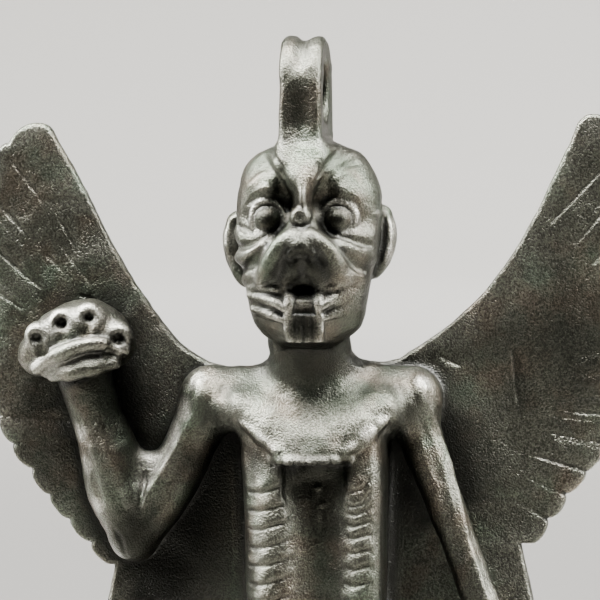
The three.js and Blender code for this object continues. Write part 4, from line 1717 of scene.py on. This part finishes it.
@dataclass(frozen=True)
class PatinatedBronze:
    """Cast bronze under an old dark patina.

    To the eye it is dull olive brown with soft highlights, near black in hollows as patina, with painted
    shade under what juts out and in listed spots, with green and brown clouds, and rubbed down to grey metal
    on what stands proud, with painted highlights of the same grey metal in listed spots. A step is where a
    share starts and ends to take effect. The casting's real grain and pits are finer than a pixel, and are
    drawn about two pixels wide, so that they show.
    """

    body: str = "40403a"
    # Near black: the patina in hollows, and the painted shade under what juts out and in the shade spots.
    deep: str = "1b1b17"
    verdigris: str = "3d4139"
    brown: str = "433f38"
    # Lighter grey metal: rubbed wear on what stands proud, and painted highlights in the highlight spots.
    rubbed_and_highlight: str = "6c6b65"
    roughness: tuple[float, float] = (0.3, 0.42)
    metallic: tuple[float, float] = (0.85, 0.5)
    hollow_step: tuple[float, float] = (0.08, 0.5)
    proud_and_highlight_step: tuple[float, float] = (0.12, 0.6)
    green_step: tuple[float, float] = (0.48, 0.66)
    brown_step: tuple[float, float] = (0.5, 0.68)
    rough_step: tuple[float, float] = (0.3, 0.7)
    fleck_step: tuple[float, float] = (0.38, 0.62)
    fleck: tuple[float, float] = (0.6, 1.3)
    # How far the painted shade darkens the colour towards the near black.
    painted_shade_depth: float = 0.86
    grain_mm: float = 0.22
    pitting_mm: float = 0.13
    mottle_mm: float = 7.0
    patch_mm: float = 4.6

    def material(self) -> bpy.types.Material:
        """The bronze's node material.

        Returns:
            The material, which reads the mesh's three shares: patina in hollows, rubbed wear with painted
            highlights, and painted shade.
        """
        made = bpy.data.materials.new("cast bronze with dark patina")
        made.use_nodes = True
        tree = made.node_tree
        tree.nodes.clear()
        place = node(tree, "TexCoord").outputs["Object"]
        hollow, proud_and_painted_highlight, painted_shade = (
            node(tree, "Attribute", {"attribute_name": name}).outputs["Fac"] for name in SURFACE_SHARES
        )
        mottle, grain, patch = (
            node(tree, "TexNoise", {"Scale": 1 / (size * MM), "Detail": detail}, Vector=place).outputs["Fac"]
            for size, detail in ((self.mottle_mm, 5.0), (self.grain_mm, 4.0), (self.patch_mm, 4.0))
        )
        sink = self.ramp(tree, hollow, self.hollow_step)
        rub_and_highlight = self.ramp(tree, proud_and_painted_highlight, self.proud_and_highlight_step)
        green = self.ramp(tree, mottle, self.green_step)
        brown = self.ramp(tree, patch, self.brown_step)
        body = self.mix(tree, green, linear(self.body), linear(self.verdigris))
        body = self.mix(tree, brown, body, linear(self.brown))
        # Lighter metal on what stands proud, as wear, and in the highlight spots, as painted highlights.
        wear_and_painted_highlight = self.mix(tree, rub_and_highlight, body, linear(self.rubbed_and_highlight))
        fleck = self.ramp(tree, grain, self.fleck_step, self.fleck)
        flecked = node(tree, "VectorMath", {"operation": "SCALE"}, i0=wear_and_painted_highlight, Scale=fleck)
        # The patina's hollows plus the painted shade darken the colour towards near black.
        dark = node(tree, "Math", {"operation": "MULTIPLY_ADD", 1: self.painted_shade_depth}, i0=painted_shade, i2=sink)
        dark.use_clamp = True
        colour = self.mix(tree, dark.outputs["Value"], flecked.outputs["Vector"], linear(self.deep))
        bump = node(tree, "Bump", {"Strength": 1.0, "Distance": self.pitting_mm * MM}, Height=grain)
        shader = node(
            tree,
            "BsdfPrincipled",
            Base_Color=colour,
            Metallic=self.ramp(tree, sink, (0.0, 1.0), self.metallic),
            Roughness=self.ramp(tree, mottle, self.rough_step, self.roughness),
            Normal=bump.outputs["Normal"],
        )
        node(tree, "OutputMaterial", Surface=shader.outputs["BSDF"])
        return made

    def ramp(
        self,
        tree: bpy.types.NodeTree,
        share: bpy.types.NodeSocket,
        step: tuple[float, float],
        ends: tuple[float, float] = (0.0, 1.0),
    ) -> bpy.types.NodeSocket:
        """A share stretched between two ends.

        Args:
            tree: The material's node tree.
            share: The socket that gives the share.
            step: Where the change starts and ends.
            ends: The values before and after it.

        Returns:
            The socket that gives the result.
        """
        limits = dict(zip(("From Min", "From Max", "To Min", "To Max"), (*step, *ends)))
        return node(tree, "MapRange", limits, Value=share).outputs["Result"]

    def mix(
        self, tree: bpy.types.NodeTree, share: bpy.types.NodeSocket, a: Colour, b: Colour
    ) -> bpy.types.NodeSocket:
        """A colour between two others.

        Args:
            tree: The material's node tree.
            share: The socket that says how much of b there is.
            a: The first colour, as a value or a socket.
            b: The second one.

        Returns:
            The socket that gives the colour.
        """
        made = node(tree, "Mix", {"data_type": "RGBA"}, i0=share)
        for name, value in (("A", a), ("B", b)):
            socket = next(s for s in made.inputs if s.name == name and s.type == "RGBA")
            if isinstance(value, tuple):
                socket.default_value = value
            else:
                tree.links.new(value, socket)
        return next(s for s in made.outputs if s.type == "RGBA")


@dataclass(frozen=True)
class Spot:
    """A round spot with a soft edge, as used for painted shade and for painted highlights on the patina:
    place and reach in millimetres, and depth as a share.
    """

    name: str
    place: Row
    reach: float
    depth: float


def steps(*spans: tuple[float, float, float]) -> np.ndarray:
    """Grid places over spans that follow each other, each from a start to an end by its own step."""
    parts = [np.linspace(a, b, round((b - a) / step), endpoint=False) for a, b, step in spans]
    return np.concatenate([*parts, [spans[-1][1]]])


def upper_wings() -> tuple[UpperWing, UpperWing]:
    """The left and the right upper wing, whose outlines and extra feather lines differ as in the photograph.

    Returns:
        The left wing, and the right one.
    """
    left = UpperWing(
        side=1,
        lead=[[10.5, 110.4], [15.8, 114], [21.6, 119.4], [27.7, 129.2], [32.4, 139.4]],
        notch=[37.2, 138.2],
        trail=[[41.0, 129], [42.3, 118], [40.2, 108], [35.4, 99.4], [30.8, 94], [26.6, 87.8]],
        quill_depths=(0.1, 0.24),
        marks=[
            [[36.6, 135.4, 0.3], [35.0, 133.5, 0.4], [31.8, 130.1, 0.4], [28.7, 126.7, 0.24]],
            [[37.0, 130.4, 0.3], [35.0, 128.0, 0.4], [32.0, 124.5, 0.26]],
            [[37.0, 125.4, 0.3], [35.0, 123.2, 0.36], [33.8, 121.8, 0.24]],
            [[36.6, 103.8, 0.3], [34.0, 103.9, 0.36], [30.8, 104.2, 0.24]],
            [[35.4, 100.2, 0.3], [32.6, 100.7, 0.36], [28.9, 101.5, 0.24]],
            [[33.2, 97.1, 0.3], [30.6, 97.7, 0.36], [27.1, 98.7, 0.24]],
            [[15.4, 110.8, 0.3], [17.9, 109.6, 0.26]],
            [[24.4, 111.5, 0.3], [24.9, 107.2, 0.36], [25.5, 102.9, 0.24]],
        ],
    )
    right = UpperWing(
        side=-1,
        lead=[[10.5, 109.2], [16.2, 111.8], [22.9, 120.8], [29.1, 132.4], [32.4, 138.0]],
        notch=[37.8, 136.6],
        trail=[
            [41.3, 128.5], [42.3, 118], [41, 109.5], [38.4, 102], [34.7, 96.2], [30.1, 90.2], [24.8, 84.8],
        ],
        quill_depths=(0.1, 0.04),
        marks=[
            [[-37.6, 134.9, 0.3], [-35.9, 132.7, 0.4], [-33.5, 129.5, 0.3]],
            [[-39.4, 129.8, 0.3], [-37.4, 127.6, 0.4], [-35.5, 125.4, 0.34]],
            [[-39.6, 123.9, 0.3], [-37.4, 122.0, 0.4], [-35.8, 120.5, 0.38], [-33.5, 118.7, 0.26]],
            [[-39.8, 119.0, 0.3], [-38.0, 117.6, 0.4], [-36.0, 116.3, 0.3]],
            [[-31.4, 127.2, 0.26], [-29.9, 124.9, 0.34], [-29.1, 123.2, 0.24]],
            [[-32.9, 122.8, 0.4], [-31.2, 121.2, 0.26]],
            [[-31.2, 124.1, 0.2], [-29.3, 121.6, 0.3], [-27.5, 119.2, 0.2]],
            [[-28.7, 117.9, 0.3], [-27.1, 117.5, 0.24]],
            [[-25.5, 116.7, 0.3], [-23.8, 115.8, 0.24]],
        ],
    )
    return left, right


@dataclass
class Casting:
    """The whole statuette as one bronze casting: its mesh, its hand-made unevenness and its patina.

    A grid is given as spans of (start, end, step). A point gets painted shade in the patina's colour from
    what it meets towards the sky. Spots of painted shade darken the patina more, and spots of painted
    highlight bare the metal, where the photograph shows them.
    """

    parts: Sequence[Part]
    grid_x: tuple[Row, ...] = ((-44.4, -11, 0.2), (-11, 11, 0.16), (11, 44.4, 0.2))
    grid_y: tuple[Row, ...] = ((-28.9, -18, 0.42), (-18, 8.4, 0.18), (8.4, 28.9, 0.42))
    grid_z: tuple[Row, ...] = ((-0.9, 80, 0.34), (80, 112, 0.2), (112, 150.9, 0.16))
    triangles: int = 192_000
    waves: int = 36
    wave_mm: tuple[float, float] = (1.1, 9.0)
    wave_height: float = 0.085
    wave_fall: float = 0.9
    wave_gain: float = 2.2
    seed: int = 7
    probe_mm: tuple[float, ...] = (0.45, 1.1)
    normal_step: float = 0.12
    snap_mm: float = 0.2
    snaps: int = 2
    sky: Row = (0.0, -0.42, 0.91)
    sky_start: float = 1.0
    sky_mm: tuple[float, ...] = (2.5, 4.5, 7.0, 10.0)
    sky_spread: float = 0.3
    sky_gain: float = 1.5
    sky_loss: float = 0.2
    painted_shade_share: float = 0.8
    spot_softness: float = 1.5
    bronze: PatinatedBronze = PatinatedBronze()
    # Spots of painted shade: darkness where shade falls, under the nose, chin and ledge, in the armpits,
    # beside the arms and down the flanks.
    painted_shade_spots: tuple[Spot, ...] = (
        Spot("front of the loop", (-0.2, -12.1, 141.5), 4.0, 0.8),
        Spot("under the nose", (0.4, -15.6, 123.4), 3.8, 1.5),
        Spot("right of the nose", (-1.9, -14.0, 121.6), 2.5, 1.4),
        Spot("left of the nose", (2.4, -14.0, 121.8), 2.5, 1.4),
        Spot("mouth", (0.4, -13.6, 120.6), 3.2, 1.4),
        Spot("right eye's rim", (-4.2, -12.9, 128.3), 1.8, 1.4),
        Spot("left eye's rim", (4.4, -12.9, 128.4), 1.8, 1.4),
        Spot("beard", (0.45, -13.2, 115.2), 2.5, 1.4),
        Spot("throat", (1.4, -7.6, 111.0), 6.0, 1.3),
        Spot("foot of the throat", (1.6, -5.8, 106.8), 3.8, 1.0),
        Spot("bend of the raised arm", (-21.5, -2.0, 88.5), 6.0, 1.2),
        Spot("right armpit, low", (-13.4, -3.2, 97.5), 3.8, 0.8),
        Spot("under the ledge", (1.2, -9.6, 97.0), 6.0, 1.4),
        Spot("right end of the ledge", (-6.4, -7.5, 98.5), 3.8, 0.9),
        Spot("beside the left arm", (11.8, 3.2, 94.0), 6.5, 1.0),
        Spot("left wing, inner", (30.0, 3.2, 112.0), 11.0, 0.6),
        Spot("right wing, low", (-33.0, 3.2, 97.0), 9.0, 0.5),
        Spot("right armpit", (-11.4, -3.6, 104.0), 3.4, 1.0),
        Spot("left armpit", (12.0, -3.6, 104.6), 3.0, 1.0),
        Spot("right collar", (-8.8, -3.2, 107.6), 5.2, 0.65),
        Spot("left collar", (8.8, -3.2, 107.8), 4.6, 0.5),
        *(Spot("belly", (x, -6.6, z), 3.4, 0.7) for x, z in ((3.6, 90.0), (3.4, 85.0), (3.4, 80.0))),
        Spot("right cheek's pit", (-7.2, -9.4, 122.2), 1.6, 0.9),
        Spot("left cheek's pit", (7.2, -9.6, 122.4), 1.8, 0.9),
        Spot("right lip's corner", (-4.6, -11.6, 117.7), 1.6, 0.7),
        Spot("right of the beard", (-4.6, -11.0, 115.4), 2.6, 0.45),
        Spot("left of the beard", (6.0, -10.6, 115.8), 2.8, 0.35),
        Spot("right temple", (-8.3, -6.5, 129.0), 3.0, 0.4),
        Spot("left brow", (5.4, -10.6, 133.6), 3.4, 0.35),
        Spot("raised forearm", (-26.5, -3.0, 99.0), 6.0, 0.4),
        *(Spot("flank", (x, -5.0, z), 3.6, 0.9) for x in (10.2, -8.9) for z in range(97, 72, -4)),
    )
    # Spots of painted highlight: lighter metal where light falls on the breast's ridges, shoulders, ears,
    # upper arm, forearm and the beard's strands.
    wear_and_painted_highlight: tuple[Spot, ...] = (
        Spot("beard's right strand", (-1.9, -13.2, 115.2), 1.1, 0.9),
        Spot("beard's left strand", (2.8, -13.2, 115.2), 1.1, 0.9),
        Spot("right ridge, outer end", (-7.4, -8.9, 102.9), 1.8, 0.7),
        Spot("right ridge, middle", (-5.8, -9.8, 101.5), 1.8, 0.9),
        Spot("right ridge, inner end", (-4.2, -10.7, 100.3), 1.6, 1.0),
        Spot("left ridge, outer end", (10.0, -7.9, 103.8), 1.8, 0.6),
        Spot("left ridge, middle", (8.2, -8.9, 102.2), 1.8, 0.9),
        Spot("left ridge, inner end", (6.4, -10.2, 100.6), 1.6, 1.0),
        Spot("right shoulder", (-13.6, -2.4, 107.6), 1.8, 0.7),
        Spot("left shoulder", (13.8, -2.6, 107.8), 1.6, 0.7),
        Spot("upper arm, top", (-15.4, -2.0, 104.4), 2.4, 0.8),
        Spot("upper arm, upper middle", (-17.0, -1.8, 101.4), 2.4, 1.0),
        Spot("upper arm, lower middle", (-18.6, -1.5, 98.2), 2.4, 1.0),
        Spot("upper arm, low", (-20.0, -1.3, 95.2), 2.0, 0.9),
        Spot("left ear, upper", (10.3, -3.4, 126.5), 2.4, 0.7),
        Spot("left ear, lower", (10.1, -3.4, 123.8), 2.2, 0.7),
        Spot("right ear", (-10.1, -3.3, 125.5), 2.4, 0.6),
        Spot("forearm, top", (-28.2, -1.6, 101.5), 1.8, 0.7),
        Spot("forearm, middle", (-27.4, -1.4, 97.5), 1.8, 0.7),
        Spot("forearm, low", (-25.8, -1.2, 92.6), 1.8, 0.7),
    )

    def clay(self) -> Clay:
        """Sculpts every sub-assembly of the figure, in order.

        Returns:
            The finished clay.
        """
        clay = Clay(steps(*self.grid_x), steps(*self.grid_y), steps(*self.grid_z))
        for part in self.parts:
            part.sculpt(clay)
            LOG.info("sculpted %s", type(part).__name__)
        return clay

    def pour(self) -> bpy.types.Object:
        """Makes the mesh from the clay, within the limit of triangles, and places it in the frame.

        Returns:
            The casting, not yet dressed.
        """
        clay = self.clay()
        points, quads = clay.skin()
        LOG.info("skin of %d points and %d faces", len(points), len(quads))
        raw = self.mesh("raw skin", points, quads)
        thin = self.thinned(raw, self.triangles / (2 * len(quads)))
        points = np.empty(len(thin.vertices) * 3, np.float32)
        thin.vertices.foreach_get("co", points)
        points = points.reshape(-1, 3).astype(float) / MM
        for _ in range(self.snaps):
            points -= clay.slope(points) * np.clip(clay.sample(points), -self.snap_mm, self.snap_mm)[:, None]
        out = clay.slope(points, self.normal_step)
        hollow = np.mean([1 - clay.sample(points + out * d) / d for d in self.probe_mm], 0)
        proud_and_painted_highlight = np.mean([1 + clay.sample(points - out * d) / d for d in self.probe_mm], 0)
        # Painted shade: points under what juts out, and points in the shade spots, are darkened in the
        # patina's colour.
        painted_shade = self.painted_shade_share * self.painted_shade(clay, points, out)
        painted_shade = np.maximum(painted_shade, self.spots(points, self.painted_shade_spots))
        # Painted highlights: the listed spots lighten the metal in the same way that rubbed wear does.
        proud_and_painted_highlight = np.maximum(proud_and_painted_highlight, self.spots(points, self.wear_and_painted_highlight))
        height, rise = self.unevenness(points)
        points += out * height[:, None]
        normals = out - (rise - out * np.sum(rise * out, 1, keepdims=True))
        normals /= np.linalg.norm(normals, axis=1, keepdims=True)
        points[:, 2] = np.maximum(points[:, 2], 0)
        thin.vertices.foreach_set("co", (points * MM).astype(np.float32).ravel())
        for name, value in zip(SURFACE_SHARES, (hollow, proud_and_painted_highlight, painted_shade)):
            spread = thin.attributes.new(name, "FLOAT", "POINT")
            spread.data.foreach_set("value", np.clip(value, 0, 1).astype(np.float32))
        thin.shade_smooth()
        thin.normals_split_custom_set_from_vertices(normals)
        piece = bpy.data.objects.new("cast_bronze_statuette", thin)
        bpy.context.scene.collection.objects.link(piece)
        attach(piece, "root")
        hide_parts("statuette")
        LOG.info("cast_bronze_statuette: %d triangles", len(thin.polygons))
        return piece

    def painted_shade(self, clay: Clay, points: np.ndarray, out: np.ndarray) -> np.ndarray:
        """How far each point lies under a part that juts out above it, as a share of painted shade in the
        patina's colour.

        Args:
            clay: The finished clay.
            points: Points in millimetres.
            out: The unit vector out of the clay at each point.

        Returns:
            A share from 0 to 1 for each point.
        """
        up = np.array(self.sky)
        start = points + out * self.sky_start
        covers = [np.clip(1 - clay.sample(start + up * d) / (self.sky_spread * d), 0, 1) for d in self.sky_mm]
        return np.clip(np.mean(covers, 0) * self.sky_gain - self.sky_loss, 0, 1)

    def spots(self, points: np.ndarray, places: Sequence[Spot]) -> np.ndarray:
        """How deep each point lies in round spots, such as those of painted shade and those of painted
        highlights.

        Args:
            points: Points in millimetres.
            places: The spots.

        Returns:
            The depth of the deepest spot at each point.
        """
        depth = np.zeros(len(points))
        for spot in places:
            share = ((points - spot.place) ** 2).sum(1) / spot.reach**2
            depth = np.maximum(depth, spot.depth * np.clip(1 - share, 0, 1) ** self.spot_softness)
        return depth

    def mesh(self, name: str, points: np.ndarray, quads: np.ndarray) -> bpy.types.Mesh:
        """A mesh in metres from points in millimetres and four-cornered faces.

        Args:
            name: The mesh's name.
            points: Points in millimetres.
            quads: Faces, as the numbers of their points.

        Returns:
            The mesh.
        """
        made = bpy.data.meshes.new(name)
        made.vertices.add(len(points))
        made.vertices.foreach_set("co", (points * MM).astype(np.float32).ravel())
        made.loops.add(quads.size)
        made.loops.foreach_set("vertex_index", quads.astype(np.int32).ravel())
        made.polygons.add(len(quads))
        made.polygons.foreach_set("loop_start", np.arange(0, quads.size, 4, dtype=np.int32))
        made.update(calc_edges=True)
        made.validate()
        return made

    def thinned(self, mesh: bpy.types.Mesh, ratio: float) -> bpy.types.Mesh:
        """The mesh with fewer faces, most of them kept where it curves.

        Args:
            mesh: The mesh, which is used up.
            ratio: The share of faces to keep.

        Returns:
            The new mesh.
        """
        carrier = bpy.data.objects.new("carrier", mesh)
        bpy.context.scene.collection.objects.link(carrier)
        thinner = carrier.modifiers.new("thinner", "DECIMATE")
        thinner.ratio = ratio
        thinner.use_collapse_triangulate = True
        graph = bpy.context.evaluated_depsgraph_get()
        thin = bpy.data.meshes.new_from_object(carrier.evaluated_get(graph))
        bpy.data.objects.remove(carrier)
        bpy.data.meshes.remove(mesh)
        thin.name = "cast_bronze_statuette"
        return thin

    def unevenness(self, points: np.ndarray) -> tuple[np.ndarray, np.ndarray]:
        """The soft waviness of hand-worked wax.

        Args:
            points: Points in millimetres.

        Returns:
            Its height in millimetres at each point, and the height's slope.
        """
        chance = np.random.default_rng(self.seed)
        height = np.zeros(len(points))
        rise = np.zeros_like(points)
        lengths = np.geomspace(*self.wave_mm, self.waves)
        for length in lengths:
            way = chance.normal(size=3)
            way *= 2 * math.pi / length / np.linalg.norm(way)
            share = (length / self.wave_mm[1]) ** self.wave_fall
            size = self.wave_height * share / math.sqrt(self.waves) * self.wave_gain
            phase = points @ way + chance.uniform(0, 2 * math.pi)
            height += size * np.sin(phase)
            rise += (size * np.cos(phase))[:, None] * way
        return height, rise

    def dress(self, piece: bpy.types.Object) -> None:
        """Gives the casting its patina, with its painted shade and painted highlights."""
        piece.data.materials.clear()
        piece.data.materials.append(self.bronze.material())


@dataclass(frozen=True)
class StudioLight:
    """A rectangular softbox that looks at a point."""

    name: str
    place: Row
    size: tuple[float, float]
    power: float
    aim: Row = (0, 0, 0.11)
    tint: str = "ffffff"
    spread: float = 180

    def build(self) -> None:
        """Adds the light to the scene."""
        lamp = bpy.data.lights.new(self.name, "AREA")
        lamp.spread = math.radians(self.spread)
        lamp.shape = "RECTANGLE"
        lamp.size, lamp.size_y = self.size
        lamp.energy = self.power
        lamp.color = linear(self.tint)[:3]
        holder = bpy.data.objects.new(self.name, lamp)
        holder.location = self.place
        holder.rotation_euler = (Vector(self.aim) - Vector(self.place)).to_track_quat("-Z", "Y").to_euler()
        bpy.context.scene.collection.objects.link(holder)


@dataclass
class Studio:
    """A plain pale sweep, soft lights and the camera at the photograph's angle, all in metres.

    The camera looks at a point that is sideways of the middle and at a height, and takes in half_view on each
    side of it. The sweep's wall is so far away that a camera behind the figure still stands in front of it.
    """

    azimuth: float = 6.0
    elevation: float = 3.0
    distance: float = 0.9
    half_view: float = 0.036585
    sideways: float = -0.00134
    height: float = 0.1176829
    paper: str = "a8a6a2"
    paper_roughness: float = 0.85
    world: float = 0.01
    floor_span: tuple[float, float] = (-1.6, 2.5)
    floor_half: float = 2.2
    bend: float = 0.6
    bend_steps: int = 13
    wall_top: float = 2.2
    clip: tuple[float, float] = (0.05, 20.0)
    sensor_mm: float = 36.0

    def build(self) -> None:
        """Adds the floor, lights, surroundings and camera."""
        self.floor()
        self.lights()
        self.camera()

    def floor(self) -> None:
        """Adds a floor that sweeps up into a backdrop behind the figure."""
        near, far = self.floor_span
        turn = np.radians(np.linspace(0, 90, self.bend_steps))
        curve = np.stack([far + self.bend * np.sin(turn), self.bend * (1 - np.cos(turn))], 1)
        profile = np.concatenate([[[near, 0.0]], curve, [[far + self.bend, self.wall_top]]])
        points = [(side * self.floor_half, y, z) for y, z in profile for side in (-1, 1)]
        faces = [(2 * i, 2 * i + 1, 2 * i + 3, 2 * i + 2) for i in range(len(profile) - 1)]
        mesh = bpy.data.meshes.new("paper_sweep")
        mesh.from_pydata(points, [], faces)
        mesh.shade_smooth()
        mesh.materials.append(self.paper_material())
        sweep = bpy.data.objects.new("paper_sweep", mesh)
        bpy.context.scene.collection.objects.link(sweep)

    def paper_material(self) -> bpy.types.Material:
        """Matt photographic background paper: even and pale to the eye, with no gloss.

        Returns:
            The paper's node material.
        """
        made = bpy.data.materials.new("matt background paper")
        made.use_nodes = True
        tree = made.node_tree
        tree.nodes.clear()
        look = {"Base Color": linear(self.paper), "Roughness": self.paper_roughness}
        shader = node(tree, "BsdfPrincipled", look)
        node(tree, "OutputMaterial", Surface=shader.outputs["BSDF"])
        return made

    def lights(self) -> None:
        """Adds the softboxes and a dim neutral surrounding."""
        for light in (
            StudioLight("key softbox", (-0.05, -0.22, 0.86), (0.9, 0.4), 6.5, (0, 0.04, 0.12), spread=38),
            StudioLight("right softbox", (0.5, -0.1, 0.62), (0.3, 0.5), 2.4, (0, 0, 0.12), spread=50),
            StudioLight("left softbox", (-0.5, -0.08, 0.62), (0.3, 0.5), 3.4, (0, 0, 0.12), spread=50),
            StudioLight("right low softbox", (0.62, -0.08, 0.36), (0.25, 0.4), 1.0, (0, 0, 0.1), spread=50),
            StudioLight("left low softbox", (-0.62, -0.06, 0.38), (0.25, 0.4), 1.3, (0, 0, 0.1), spread=50),
            StudioLight("left rim strip", (-0.75, 0.12, 0.3), (0.16, 0.7), 2.2),
            StudioLight("right rim strip", (0.75, 0.16, 0.32), (0.16, 0.7), 2.2),
            StudioLight("backdrop light", (0.0, 0.3, 1.3), (1.4, 0.3), 34.0, (0, 1.2, 0.2)),
            StudioLight("far backdrop light", (0.0, 2.1, 1.7), (2.6, 1.0), 34.0, (0, 2.4, 0.0), spread=110),
        ):
            light.build()
        world = bpy.data.worlds.new("studio air")
        world.use_nodes = True
        back = world.node_tree.nodes["Background"]
        back.inputs["Color"].default_value = (1, 1, 1, 1)
        back.inputs["Strength"].default_value = self.world
        bpy.context.scene.world = world
        bpy.context.scene.view_settings.look = "AgX - High Contrast"

    def camera(self) -> None:
        """Adds the camera at the photograph's angle, height and field."""
        a, e = math.radians(self.azimuth), math.radians(self.elevation)
        target = Vector((self.sideways * math.cos(a), self.sideways * math.sin(a), self.height))
        forward = Vector((-math.sin(a) * math.cos(e), math.cos(a) * math.cos(e), -math.sin(e)))
        lens = bpy.data.cameras.new("camera")
        lens.sensor_width = self.sensor_mm
        lens.lens = lens.sensor_width / 2 * self.distance / self.half_view
        lens.clip_start, lens.clip_end = self.clip
        holder = bpy.data.objects.new("camera", lens)
        holder.location = target - forward * self.distance
        holder.rotation_euler = forward.to_track_quat("-Z", "Y").to_euler()
        bpy.context.scene.collection.objects.link(holder)
        bpy.context.scene.camera = holder


def main() -> None:
    """Builds the casting, its finish and the studio around it."""
    logging.basicConfig(level=logging.INFO, format="%(message)s")
    parts = [
        Base(),
        Leg(side=1),
        Leg(side=-1),
        LowerWing(side=1, top=24.6, hem=31.5),
        LowerWing(side=-1, top=23.2, hem=29.5),
        *upper_wings(),
        Torso(),
        Tail(),
        Arms(),
        Head(),
        Loop(),
    ]
    casting = Casting(parts)
    piece = casting.pour()
    casting.dress(piece)
    Studio().build()


if __name__ == "__main__":
    main()
